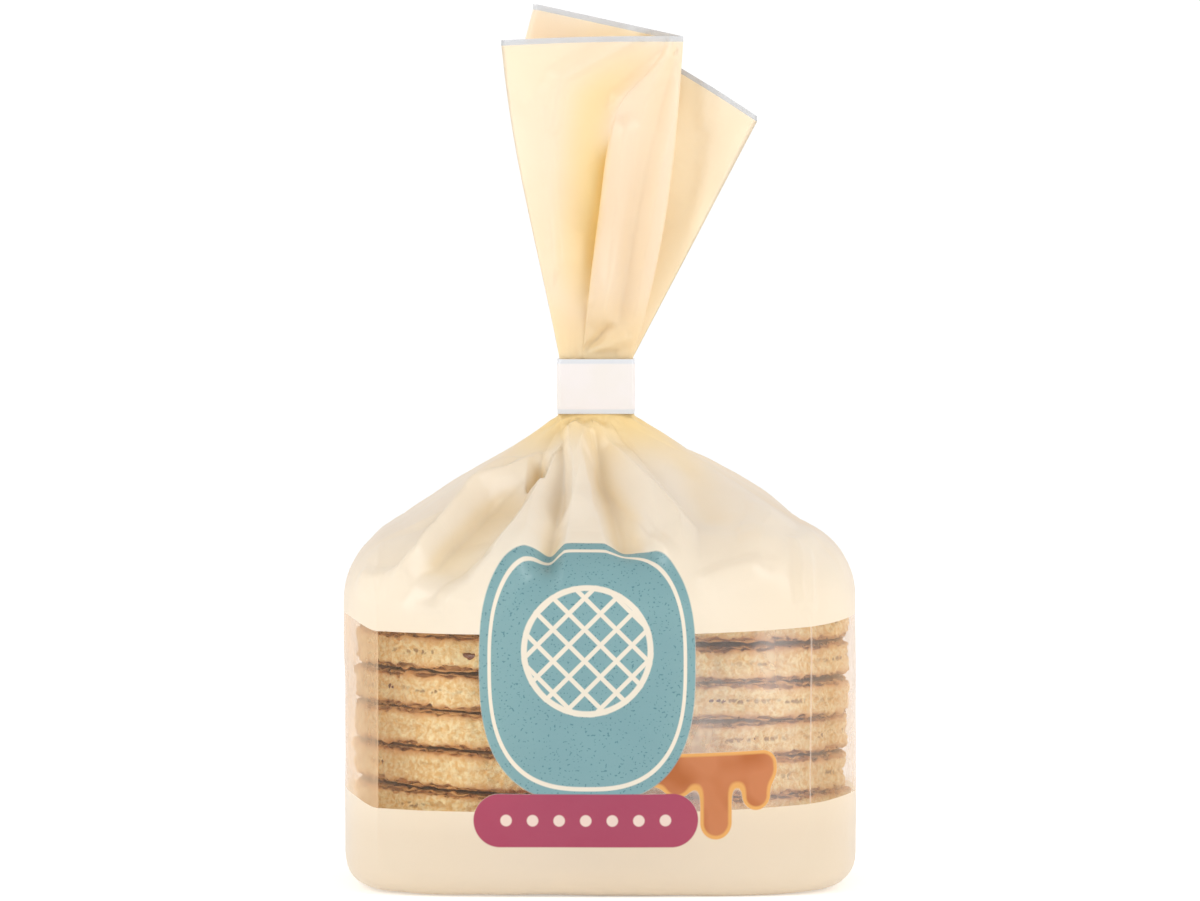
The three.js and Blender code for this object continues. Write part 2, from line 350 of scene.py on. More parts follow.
def fold_relief(points, fold):
    """How far one fold lifts each point, from its nearest place on the fold's line."""
    given = np.array(fold["line"], dtype=float)
    at_given = np.linspace(0, 1, len(given))
    along = np.linspace(0, 1, FOLD_SAMPLES)
    angles = np.interp(along, at_given, np.radians(given[:, 0]))
    shares = np.interp(along, at_given, THROAT_SHARE + given[:, 1] * (1 - THROAT_SHARE))
    heights = height_at(np.minimum(shares, 1.0)) - 100 * np.maximum(along_slope(shares) - 1, 0)
    shares = np.minimum(shares, 1.0)
    line = np.stack(body_point(angles, shares, heights), axis=1)
    nearest = np.full(len(points), 1e9)
    side = np.zeros(len(points))
    progress = np.zeros(len(points))
    for number in range(len(line) - 1):
        start, step = line[number], line[number + 1] - line[number]
        length = max(float(step @ step), NO_LENGTH)
        t = np.clip((points - start) @ step / length, 0, 1)
        away = points - (start + t[:, None] * step)
        distance = np.linalg.norm(away, axis=1)
        closer = distance < nearest
        outward = start.copy()
        outward[2] = OUTWARD_RISE
        across = np.cross(step, outward)
        nearest = np.where(closer, distance, nearest)
        side = np.where(closer, away @ across, side)
        progress = np.where(closer, (number + t) / (len(line) - 1), progress)
    reach = np.where(side > 0, fold["left"], fold["right"])
    ratio = nearest / reach
    blunt = mix(0.30, 0.03, fold["crisp"])
    facet = np.clip(1 + blunt - np.sqrt(ratio**2 + blunt**2), 0, 1)
    facet *= smoothstep(facet, 0.0, 0.25)
    rounded = np.exp(-(ratio**2) * 2.0)
    fade = smoothstep(progress, -0.12, 0.22) * (1 - smoothstep(progress, 0.72, 1.04))
    return FOLD_STRENGTH * fold["rise"] * mix(rounded, facet, fold["crisp"]) * fade


def print_sag(x, y):
    """How far the film is drawn up at its corners, in mm, which bends the window's edges."""
    left_side = mix(0.4, 3.0, smoothstep(-x, 44, 51))
    right_side = mix(1.5, 2.6, smoothstep(x, 42, 51))
    towards_corner = np.clip(np.abs(x) / FRONT_HALF, 0, 1) ** 2
    front = smoothstep(-y, -20, 20)
    return np.where(x < 0, left_side, right_side) * towards_corner * mix(0.4, 1.0, front)


FOLDS_BELOW = 16  # how far below the shoulder the folds fade out, in mm
DEEPEST_FOLD, HIGHEST_FOLD = -5.2, 3.8  # mm off the smooth film
GATHER_COUNT, GATHER_DEPTH = 15, 0.5
CREASES = ((LEFT_CREASE, 0.6), (RIGHT_CREASE, 0.45))  # place and height, in mm
SEAM_X, SEAM_HEIGHT = 3, 0.4  # the lap seam that runs up the back
FILM_LIFT = 0.02  # height of the film's lowest points above the floor


def make_film_body():
    """The bag from its base to the band: film, window, folds and seam."""
    rows = len(OUTLINE) - 1
    piece, across, up = new_sheet("bag_film", AROUND, rows)
    row = np.rint(up * rows).astype(int)
    angle = (across - 0.5) * 2 * math.pi
    angle -= FRONT_CLOSER * np.sin(angle)
    share, height = OUTLINE[row, 0], OUTLINE[row, 1]
    step = np.linalg.norm(np.diff(OUTLINE * [BODY_WIDTH / 2, 1.0], axis=0), axis=1)
    length_up = np.concatenate([[0.0], np.cumsum(step)])
    low = OUTLINE[:, 1] <= WINDOW_TOP
    wall_foot = np.interp(BASE_ROUND, OUTLINE[low, 1], length_up[low])
    along_film = length_up[row] - wall_foot + BASE_ROUND

    points = np.stack(body_point(angle, share, height), axis=1)
    shape = (rows + 1, AROUND + 1)
    order = np.lexsort((np.rint(across * AROUND), row))
    lattice = points[order].reshape(*shape, 3)
    side_step = np.roll(lattice[:, :-1], -1, axis=1) - np.roll(lattice[:, :-1], 1, axis=1)
    side_step = np.concatenate([side_step, side_step[:, :1]], axis=1)
    up_step = np.gradient(lattice, axis=0)
    normals = np.cross(side_step, up_step)
    normals /= np.maximum(np.linalg.norm(normals, axis=2, keepdims=True), 1e-12)
    outward = np.empty_like(points)
    outward[order] = normals.reshape(-1, 3)

    lift = np.zeros(len(points))
    folded = height > SHOULDER_START - FOLDS_BELOW
    for fold in FRONT_FOLDS + back_folds():
        lift[folded] += fold_relief(points[folded], fold)
    near_neck = smoothstep(along_slope(share), 0.0, 0.08)
    near_side = 1 - smoothstep(SHOULDER_START + 3 - height, 0, FOLDS_BELOW)
    lift *= np.where(height > SHOULDER_START, near_neck, near_side)
    lift *= folded
    lift = np.clip(lift, DEEPEST_FOLD, HIGHEST_FOLD)
    at_side = smoothstep(np.abs(angle), 0.75, 1.2) * (1 - smoothstep(np.abs(angle), 1.9, 2.3))
    lift *= 1 - 0.72 * at_side

    # Gathers under the band
    gathers = np.cos(GATHER_COUNT * angle + 1.4 * np.sin(3 * angle + 0.5))
    gathers *= np.exp(-along_slope(share) / 0.10)
    gathers *= smoothstep(along_slope(share), 0.0, 0.03) * (1 - 0.7 * at_side)
    lift += GATHER_DEPTH * gathers * (height > SHOULDER_START + 4)

    # Creases at the corners of the front panel
    for crease_x, crease_height in CREASES:
        beside = np.abs(points[:, 0] - crease_x)
        upright = smoothstep(height, 4, 12) * (1 - smoothstep(height, 64, 72))
        lift += crease_height * np.exp(-beside / 1.1) * upright
    seam = 1 - smoothstep(np.abs(points[:, 0] - SEAM_X), 4.4, 5.0)
    seam *= smoothstep(height, 2, 6) * (1 - smoothstep(height, 80, 90))
    lift += SEAM_HEIGHT * seam * (points[:, 1] > 5)
    points += outward * lift[:, None]
    by_window = smoothstep(height, 8, WINDOW_BOTTOM)
    by_window *= 1 - smoothstep(height, WINDOW_TOP, SHOULDER_START + 2)
    points[:, 2] += print_sag(points[:, 0], points[:, 1]) * by_window
    place_points(piece, points * MM)

    front = np.where(np.cos(angle) > 0, 1.0, 0.0)
    smooth_x = body_point(angle, share, height)[0]
    keep_places(piece, "print_place", np.stack([smooth_x, along_film, front], axis=1))
    # Painted shade: the film is coloured deeper yellow near the neck, where it gathers in layers, and
    # in the hollows of its folds. This is partly the layers' own colour and partly painted shade and
    # glow.
    on_shoulder = smoothstep(height, SHOULDER_START, SHOULDER_START + 12)
    near_neck = 1 - smoothstep(along_slope(share), 0.0, 0.55)
    hollow_shade = smoothstep(-lift, 0.2, 3.2)
    gathered_and_shaded = np.clip(0.75 * near_neck**1.8 + 0.30 * hollow_shade, 0, 1)
    keep_values(piece, "gathered_painted_shade", on_shoulder * gathered_and_shaded)

    window = [
        WINDOW_BOTTOM - 0.01 <= OUTLINE[i, 1]
        and OUTLINE[i + 1, 1] <= WINDOW_TOP + 0.01
        and OUTLINE[i, 0] == 1.0
        for i in range(rows)
    ]
    for face in piece.data.polygons:
        lowest = min(row[v] for v in face.vertices)
        face.material_index = 1 if window[lowest] else 0
    close_seams(piece, FILM_MERGE)
    roughen(piece, "CLOUDS", 26, 0.9, offset=0.31)
    roughen(piece, "VORONOI", 22, 0.5, offset=0.57)
    points = points_of(piece)
    points[:, 2] = np.maximum(points[:, 2], FILM_LIFT * MM)
    place_points(piece, points)
    smooth(piece)
    return piece


# Mouth of the bag

# Upper corners of its three leaves, in the order of the film's zigzag: front left, front right,
# then the left fold between the middle and the back leaf, and the back leaf's right corner.
A_TOP = np.array([-19.7, -7.0, 167.8])
B_TOP = np.array([16.3, -4.0, 168.6])
C_TOP = np.array([-13.5, 1.5, 175.0])
D_TOP = np.array([31.3, 5.0, 152.6])
LAYER_GAP_LOW, LAYER_GAP = 0.25, 0.6  # between a leaf's two films, at the band and at the top
MOUTH_ROWS = 110
MOUTH_ROOT = BAND_BOTTOM + 5.0  # the film starts inside the band
CLEAR_RIM = 1.1  # unprinted film along the top edge
# Places along the front leaf: left flap, turn of its fold, right flap up to the crease, rest. Then
# each bend between two leaves, the middle leaf, and the back leaf up to its crease.
FLAP_SAMPLES, TURN_SAMPLES, RIGHT_SAMPLES, EDGE_SAMPLES = 34, 14, 24, 10
BEND_SAMPLES, MIDDLE_SAMPLES, BACK_SAMPLES = 3, 44, 26
# Shares of the mouth's height, and there the places across, in mm, of the front leaf's fold, of the
# left edge of the hollow beside it, and of the crease near the leaf's right edge.
FOLD_HEIGHTS = (0.0, 0.26, 0.46, 0.64, 0.82, 0.88, 0.94, 1.0)
FOLD_PLACES = (-3.7, -2.1, -0.4, 1.0, 4.2, 8.4, 12.0, 13.6)
HOLLOW_PLACES = (-6.4, -9.2, -9.1, -8.8, -7.9, -7.0, -2.4, 6.0)
CREASE_PLACES = (5.0, 9.2, 11.0, 12.4, 13.9, 14.2, 14.5, 14.9)
POCKET_DEPTH = 2.2


def stretch_of(start, end, samples, bend=0.0, last=False):
    """Points from start to end in plan, bent by that many mm, towards the front if above zero."""
    t = np.linspace(0, 1, samples, endpoint=last)[:, None]
    line = mix(np.array(start), np.array(end), t)
    line[:, 1] -= bend * np.sin(np.pi * t[:, 0])
    return line


def eased(up, heights, places):
    """Straight-line interpolation with rounded corners."""
    near = up + np.array([-0.045, -0.03, -0.015, 0.0, 0.015, 0.03, 0.045])
    return float(np.mean(np.interp(near, heights, places)))


def mouth_row(up):
    """The mouth's path in plan at one height, 0 at the band and 1 at the top edge, in mm, and for each
    of its points a share, 0 to 1,
    of painted shade and glow: deeper yellow in the fold's hollow, on the leaves behind it and near the
    band, where the film is gathered."""
    half = NECK_WIDTH / 2 - 0.1
    left, right = NECK_X - half, NECK_X + half
    left_bulge = -1.0 * math.sin(math.pi * up**1.6)
    right_bulge = 2.1 * math.sin(math.pi * up**0.9)
    back_bulge = -2.1 * min(float(smoothstep(up, 0.55, 0.9)), (1 - up) / 0.087)

    def corner(neck_x, neck_y, top, bulge, apart):
        return np.array([mix(neck_x, top[0], up) + bulge, mix(neck_y, top[1] + apart, up)])

    a = corner(left, -1.7, A_TOP, left_bulge, 0.0)
    b_front = corner(right, -1.4, B_TOP, right_bulge, -0.8)
    b_back = corner(right, -0.3, B_TOP, right_bulge, 0.6)
    c_front = corner(left, 0.3, C_TOP, back_bulge, -0.6)
    c_back = corner(left, 1.2, C_TOP, back_bulge, 0.6)
    d = corner(right, 1.7, D_TOP, 0.0, 0.0)

    # The front leaf's fold: its left flap runs in behind the right one. Near the top the fold
    # opens into a broad hollow whose edge swings over to the right.
    spread = float(smoothstep(up, 0.03, 0.28))
    opened = float(smoothstep(up, 0.60, 0.74))
    fold_x = eased(up, FOLD_HEIGHTS, FOLD_PLACES)
    hollow_x = eased(up, FOLD_HEIGHTS, HOLLOW_PLACES)
    over = mix(0.5, 1.5, spread) * (1 - opened)
    depth = POCKET_DEPTH * float(smoothstep(up, 0.02, 0.42)) * (1 - float(smoothstep(up, 0.82, 1.03)))
    lip = mix(0.15, 0.8, spread) * (1 - 0.8 * opened)
    crease_x = eased(up, FOLD_HEIGHTS, CREASE_PLACES)
    line_y = np.interp([fold_x, crease_x], [a[0], b_front[0]], [a[1], b_front[1]])
    forward = mix(0.1, 2.0, up)
    outer = np.array([fold_x, line_y[0] - forward - lip])
    crease = np.array([crease_x, line_y[1] - mix(0.1, 1.9, up)])
    flap = stretch_of(a, (fold_x + over, line_y[0] - forward), FLAP_SAMPLES, mix(0.0, 0.8, up))
    into = np.clip((flap[:, 0] - hollow_x) / (fold_x - hollow_x), 0, None)
    folded_in = np.minimum(into, 1) ** 1.1
    opened_in = 0.8 * np.sin(np.pi * np.minimum(into, 1) ** 1.2) ** 0.9
    flap[:, 1] += depth * mix(folded_in, opened_in, opened)
    turn_start = flap[-1] + (flap[-1] - flap[-2]) * 0.6
    right_flap = stretch_of(outer, crease, RIGHT_SAMPLES, mix(0.0, 0.9, spread))
    edge_strip = stretch_of(crease, b_front, EDGE_SAMPLES, 0.3 * spread)
    turn = stretch_of(turn_start, outer, TURN_SAMPLES)
    front = np.vstack([flap, turn, right_flap, edge_strip])
    front[:, 1] += 0.35 * np.sin(2.3 * front[:, 0] + 0.8) * math.exp(-up / 0.05) * (up > 0)
    back_crease = mix(c_back, d, 0.74) + np.array([0.0, mix(0.1, 2.2, up)])
    behind = np.vstack(
        [
            stretch_of(b_front, b_back, BEND_SAMPLES),
            stretch_of(b_back, c_front, MIDDLE_SAMPLES, mix(0.0, -0.9, up)),
            stretch_of(c_front, c_back, BEND_SAMPLES),
            stretch_of(c_back, back_crease, BACK_SAMPLES, -0.5 * up),
            stretch_of(back_crease, d, BACK_SAMPLES // 2, 0.0, last=True),
        ]
    )
    # The other leaves give way behind the hollow
    centre_x = mix(fold_x + over / 2, (fold_x + hollow_x) / 2 + 0.8, opened)
    reach = mix(5.5, (fold_x - hollow_x) * 0.45, opened)
    behind[:, 1] += depth * np.exp(-(((behind[:, 0] - centre_x) / reach) ** 2))

    # Painted shade and glow: the film is coloured deeper yellow in the fold's hollow, on the right
    # flap, on the leaves behind and near the band.
    sunk = depth / POCKET_DEPTH
    front_painted_shade = np.concatenate(
        [
            sunk * mix(np.minimum(into, 1) ** 0.8, 0.7 * opened_in, opened) + 0.04,
            np.full(TURN_SAMPLES, sunk * (1 - opened)),
            0.02 + 0.10 * smoothstep(np.linspace(0, 1, RIGHT_SAMPLES), 0.3, 0.8),
            np.full(EDGE_SAMPLES, 0.0),
        ]
    )
    away_left, away_right = smoothstep(behind[:, 0], -8, 6), smoothstep(behind[:, 0], 14, 27)
    behind_painted_shade = 0.02 + 0.24 * (1 - away_right) * away_left
    near_band = 1 - float(smoothstep(up, 0.03, 0.28))
    painted_shade = np.concatenate([front_painted_shade, behind_painted_shade])
    return np.vstack([front, behind]), np.maximum(painted_shade, 0.42 * near_band)


def soften(path, passes):
    """Rounds the corners of a path, keeping its ends."""
    for _ in range(passes):
        inner = (path[:-2] + 2 * path[1:-1] + path[2:]) / 4
        path = np.concatenate([path[:1], inner, path[-1:]])
    return path


def mouth_tops(path):
    """Height of the top edge along the path, from the leaves' corners."""
    front = FLAP_SAMPLES + TURN_SAMPLES + RIGHT_SAMPLES + EDGE_SAMPLES
    back = front + MIDDLE_SAMPLES + 2 * BEND_SAMPLES
    t_front = (path[:front, 0] - A_TOP[0]) / (B_TOP[0] - A_TOP[0])
    t_back = (path[back:, 0] - C_TOP[0]) / (D_TOP[0] - C_TOP[0])
    heights = np.concatenate(
        [
            mix(A_TOP[2], B_TOP[2], t_front) + 0.3 * np.sin(np.pi * np.clip(t_front, 0, 1)),
            np.full(BEND_SAMPLES, B_TOP[2]),
            np.linspace(B_TOP[2], C_TOP[2], MIDDLE_SAMPLES),
            np.full(BEND_SAMPLES, C_TOP[2]),
            mix(C_TOP[2], D_TOP[2], t_back) + 2.3 * np.sin(np.pi * np.clip(t_back, 0, 1)),
        ]
    )
    return soften(heights, 4)


# Creases of the mouth's film: from and to, across and up in mm, how far they stand out towards the
# front, and how far they reach to the left and right of a line that runs down.
MOUTH_CREASES = [
    ((-11.0, 153.8), (-9.3, 122.5), 0.9, 4.5, 1.6),
    ((-18.0, 159.1), (-13.0, 153.5), 0.7, 2.5, 2.5),
    ((-8.0, 160.1), (-13.0, 153.5), 0.7, 2.5, 2.5),
    ((0.0, 164.5), (-8.0, 160.1), 1.2, 3.2, 1.4),
    ((7.3, 168.1), (0.0, 164.5), 1.2, 3.2, 1.4),
    ((-8.0, 160.1), (-9.6, 150.0), 0.9, 3.2, 1.2),
    ((4.7, 150.1), (0.7, 112.5), 1.2, 2.8, 3.0),
    ((14.0, 161.8), (9.3, 143.8), -1.3, 3.0, 3.0),
    ((9.3, 143.8), (4.0, 113.8), -1.3, 2.6, 3.0),
    ((13.3, 164.1), (3.7, 156.5), 0.9, 2.0, 3.5),
    ((1.5, 110.6), (-3.0, 105.8), -1.1, 1.0, 1.2),
    ((4.6, 108.4), (-2.6, 105.4), 1.0, 1.4, 2.2),
    ((3.0, 105.0), (-2.6, 105.4), -0.9, 1.0, 1.0),
    ((-2.0, 115.6), (2.7, 115.4), 0.5, 1.2, 1.6),
    ((24.0, 157.1), (18.7, 129.1), 0.45, 2.2, 2.2),
    ((20.7, 160.0), (20.7, 150.5), 0.6, 1.6, 2.6),
    ((-14.5, 137.0), (-11.8, 128.0), -0.6, 2.0, 2.4),
]


def crease_relief(x, z):
    """How far the mouth's creases stand out towards the front at each place, in mm."""
    ridges, hollows = 0.0 * x, 0.0 * x
    for start, end, rise, left, right in MOUTH_CREASES:
        step = np.subtract(end, start)
        t = np.clip(((x - start[0]) * step[0] + (z - start[1]) * step[1]) / (step @ step), 0, 1)
        away_x, away_z = x - start[0] - t * step[0], z - start[1] - t * step[1]
        on_left = away_x * step[1] - away_z * step[0] > 0
        ratio = np.hypot(away_x, away_z) / np.where(on_left, left, right)
        tent = np.clip(1.08 - np.sqrt(ratio**2 + 0.0064), 0, 1)
        lift = rise * tent * smoothstep(tent, 0.0, 0.2)
        ridges, hollows = np.maximum(ridges, lift), np.minimum(hollows, lift)
    return (ridges + hollows) * smoothstep(z, BAND_TOP + 0.2, BAND_TOP + 2)


def make_film_mouth():
    """The mouth above the band: a flattened tube of film, folded like a Z and fanned out."""
    tops = mouth_tops(mouth_row(1.0)[0])
    path_points = len(tops)
    columns = path_points * 2
    piece, across, up = new_sheet("bag_mouth", columns, MOUTH_ROWS)
    column = np.rint(across * columns).astype(int) % columns
    row = np.rint(up * MOUTH_ROWS).astype(int)
    rim_row = MOUTH_ROWS - 2
    heights = np.concatenate([[0.0], np.linspace(0, 1, rim_row), [1.0, 1.0]])
    lattice = np.zeros((MOUTH_ROWS + 1, columns, 3))
    gathered_painted_shade = np.zeros((MOUTH_ROWS + 1, columns))
    below_rim = tops - CLEAR_RIM
    for number, share in enumerate(heights):
        plan, depth = mouth_row(share)
        plan, depth = soften(plan, 6), soften(depth, 6)
        tangent = np.gradient(plan, axis=0)
        tangent /= np.maximum(np.linalg.norm(tangent, axis=1, keepdims=True), NO_LENGTH)
        normal = np.stack([tangent[:, 1], -tangent[:, 0]], axis=1)
        edge = np.minimum(np.arange(path_points), np.arange(path_points)[::-1])
        gap = mix(LAYER_GAP_LOW, LAYER_GAP, share) * np.sqrt(np.clip(edge / 3.0, 0, 1))[:, None]
        if number == 0:
            z = MOUTH_ROOT + 0 * below_rim
        elif number <= rim_row:
            z = mix(BAND_TOP - 0.15, below_rim, share)
        else:
            z = below_rim + CLEAR_RIM * (number - rim_row) / 2
        front = np.column_stack([plan + normal * gap / 2, z])
        behind = np.column_stack([plan - normal * gap / 2, z])
        lattice[number] = np.vstack([front, behind[::-1]])
        # Here depth is mouth_row's share of painted shade and glow, kept for the material.
        gathered_painted_shade[number] = np.concatenate([depth, depth[::-1]])
    points = lattice[row, column]
    points[:, 1] -= crease_relief(points[:, 0], points[:, 2])
    place_points(piece, points * MM)
    keep_values(piece, "gathered_painted_shade", gathered_painted_shade[row, column])
    for face in piece.data.polygons:
        lowest = min(row[v] for v in face.vertices)
        face.material_index = 1 if lowest >= rim_row else 0
    close_seams(piece, FILM_MERGE)
    group = piece.vertex_groups.new(name="free")
    z = points_of(piece)[:, 2] / MM
    for index, height in enumerate(z):
        group.add([index], float(smoothstep(height, BAND_TOP + 1, BAND_TOP + 14)), "REPLACE")
    roughen(piece, "CLOUDS", 20, 4.4, group="free", offset=0.2, depth=0, axis="Y")
    roughen(piece, "VORONOI", 16, 1.7, group="free", offset=0.9, axis="Y")
    smooth(piece)
    return piece


# Waffles

WAFFLE_HALF_WIDTH, WAFFLE_HALF_DEPTH = 50.1, 46.1
STACK_X, STACK_Y = 0.3, 0.0
# Height of the foot of each waffle, bottom to top, and of the top one's upper face, at its middle.
WAFFLE_LEVELS = (0.5, 6.8, 13.2, 19.7, 27.6, 35.1, 42.6, 49.9, 57.8)
STACK_TILT = 1.4  # degrees, from the fourth waffle up
LATTICE_PITCH = 3.8
PIT_DEPTH = 0.475
RIM_SINK = 0.24  # how much thinner each half is towards the rim
RIM_WAVES = (5, 11, 23)  # waves round the rim that make it uneven
GROOVE_SHARE, GROOVE_DEPTH = 0.14, 0.3
WAFFLE_GAP = 0.1
FILM_ROOM = 1.0  # the waffles stay this far inside the solid's outline
GRID_FACES = 100
RIM_ROWS = 20
SYRUP_THICKNESS, SYRUP_INSET = 0.85, 2.4


def disc_from_square(x, y):
    """Bends a square from -1 to 1 into a disc of radius 1."""
    return x * np.sqrt(1 - y * y / 2), y * np.sqrt(1 - x * x / 2)


def make_waffle(number, chance):
    """One waffle: a crumbly disc with a pitted crust on both faces and a groove for the syrup."""
    low, high = WAFFLE_LEVELS[number], WAFFLE_LEVELS[number + 1] - WAFFLE_GAP
    thickness = high - low
    piece, across, up = new_sheet(f"waffle_{number + 1}", GRID_FACES, GRID_FACES)
    x, y = disc_from_square(across * 2 - 1, up * 2 - 1)
    size = 1 - chance.uniform(0.0, 0.014)
    half_width, half_depth = WAFFLE_HALF_WIDTH * size, WAFFLE_HALF_DEPTH * size
    place_points(piece, np.stack([x * half_width, y * half_depth, 0 * x], axis=1) * MM)
    hold(piece)
    bpy.ops.object.mode_set(mode="EDIT")
    bpy.ops.mesh.select_all(action="SELECT")
    bpy.ops.mesh.extrude_region_move(TRANSFORM_OT_translate={"value": (0, 0, thickness * MM)})
    bpy.ops.mesh.select_all(action="DESELECT")
    bpy.ops.object.mode_set(mode="OBJECT")
    mesh = bmesh.new()
    mesh.from_mesh(piece.data)
    level_edges = [
        edge
        for edge in mesh.edges
        if abs(edge.verts[0].co.z - edge.verts[1].co.z) < 1e-6
        and any(abs(face.normal.z) < 0.5 for face in edge.link_faces)
    ]
    bmesh.ops.subdivide_edges(mesh, edges=level_edges, cuts=1, use_grid_fill=True)
    uprights = [
        edge for edge in mesh.edges if abs(edge.verts[0].co.z - edge.verts[1].co.z) > thickness * MM / 2
    ]
    bmesh.ops.subdivide_edges(mesh, edges=uprights, cuts=RIM_ROWS - 1, use_grid_fill=True)
    mesh.to_mesh(piece.data)
    mesh.free()
    close_seams(piece)

    points = points_of(piece) / MM
    level = points[:, 2] / thickness * 2 - 1
    reach = np.hypot(points[:, 0] / half_width, points[:, 1] / half_depth)
    at_rim = smoothstep(reach, 0.975, 0.992)
    turn = chance.uniform(0, math.pi / 2)
    across_lattice = points[:, 0] * math.cos(turn) + points[:, 1] * math.sin(turn)
    along_lattice = -points[:, 0] * math.sin(turn) + points[:, 1] * math.cos(turn)
    bars = np.maximum(
        np.abs(np.cos(np.pi * across_lattice / LATTICE_PITCH)),
        np.abs(np.cos(np.pi * along_lattice / LATTICE_PITCH)),
    )
    pit = 1 - smoothstep(bars, 0.72, 0.96)
    on_face = smoothstep(np.abs(level), 0.90, 1.0)
    near_rim = smoothstep(reach, 0.90, 0.99)
    points[:, 2] -= np.sign(level) * on_face * (pit * PIT_DEPTH + RIM_SINK * near_rim)
    groove = np.exp(-((level / GROOVE_SHARE) ** 2))
    round_it = np.arctan2(points[:, 0], -points[:, 1])
    phases = chance.uniform(0, 2 * math.pi, 3)
    wavy = sum(np.sin(waves * round_it + phase) for waves, phase in zip(RIM_WAVES, phases))
    rounded = smoothstep(np.abs(level), 0.74, 1.0) ** 1.2
    drawn_in = 0.55 + 0.3 * wavy + GROOVE_DEPTH * groove + 1.3 * rounded
    radial = points[:, :2] / np.maximum(np.hypot(points[:, 0], points[:, 1]), 1e-6)[:, None]
    points[:, :2] -= radial * (drawn_in * at_rim)[:, None]
    place_points(piece, points * MM)
    keep_values(piece, "level", level)
    keep_values(piece, "rim", at_rim)
    keep_values(piece, "pit", pit * on_face)
    rim_group = piece.vertex_groups.new(name="rim")
    for index in np.nonzero(at_rim > 0.01)[0]:
        rim_group.add([int(index)], float(at_rim[index]), "REPLACE")
    shift = float(chance.uniform(0, 5))
    roughen(piece, "CLOUDS", 7.0, 1.3, group="rim", offset=shift, level=0.7)
    roughen(piece, "CLOUDS", 2.6, 2.0, group="rim", offset=shift + 1, depth=3, level=0.6)
    roughen(piece, "STUCCI", 0.8, 0.5, group="rim", offset=shift + 2)

    tilt = math.radians(STACK_TILT * min(1.0, number / 3))
    shift_x = STACK_X + chance.uniform(-0.7, 0.7)
    shift_y = STACK_Y + chance.uniform(-0.2, 0.2)
    points = points_of(piece) / MM
    lean, wander = chance.uniform(-0.004, 0.004, 2)
    sag = 0.35 * np.sin(points[:, 0] / 17 + number) * np.cos(points[:, 1] / 19 + 2 * number)
    points[:, 2] += low - (math.tan(tilt) + lean) * points[:, 0] + wander * points[:, 1] + sag
    points[:, 2] = np.maximum(points[:, 2], 0.3)
    points[:, 0] += shift_x
    points[:, 1] += shift_y
    risen = np.sqrt(np.clip(points[:, 2] / BASE_ROUND, 0, 1))
    room = 1 - (1 - BASE_SHARE) * (1 - risen) ** 2
    taken_x = points[:, 0] / (BODY_WIDTH / 2 - FILM_ROOM)
    taken_y = points[:, 1] / (BODY_DEPTH / 2 - FILM_ROOM)
    taken = np.hypot(taken_x, taken_y)
    points[:, :2] *= np.minimum(1.0, room / np.maximum(taken, 0.01))[:, None]
    place_points(piece, points * MM)
    smooth(piece)
    return piece, (low + high) / 2, (shift_x, shift_y), (half_width, half_depth), tilt


def make_syrup(number, middle, centre, reach, tilt):
    """The syrup between the two halves of a waffle, a thin disc that shows in the groove."""
    deselect()
    bpy.ops.mesh.primitive_cylinder_add(vertices=260, radius=1, depth=SYRUP_THICKNESS * MM)
    piece = bpy.context.active_object
    piece.name = piece.data.name = f"syrup_{number + 1}"
    points = points_of(piece)
    points[:, 0] *= (reach[0] - SYRUP_INSET) * MM
    points[:, 1] *= (reach[1] - SYRUP_INSET) * MM
    place_points(piece, points)
    hold(piece)
    bpy.ops.object.mode_set(mode="EDIT")
    bpy.ops.mesh.select_all(action="SELECT")
    bpy.ops.mesh.bevel(offset=0.3 * MM, segments=3, affect="EDGES")
    bpy.ops.object.mode_set(mode="OBJECT")
    roughen(piece, "CLOUDS", 5, 1.6, offset=number * 0.7)
    points = points_of(piece)
    points[:, 2] += middle * MM - math.tan(tilt) * points[:, 0]
    points[:, 0] += centre[0] * MM
    points[:, 1] += centre[1] * MM
    place_points(piece, points)
    smooth(piece)
    return piece


# Band round the neck

STRIP_SQUARENESS = 9.0
STRIP_THICKNESS = 0.35
STRIP_LAP = 0.22  # how much further out the lapped end lies
MARGIN_START, MARGIN_END = 0.80, 0.86  # where its clear margins begin, from its middle line


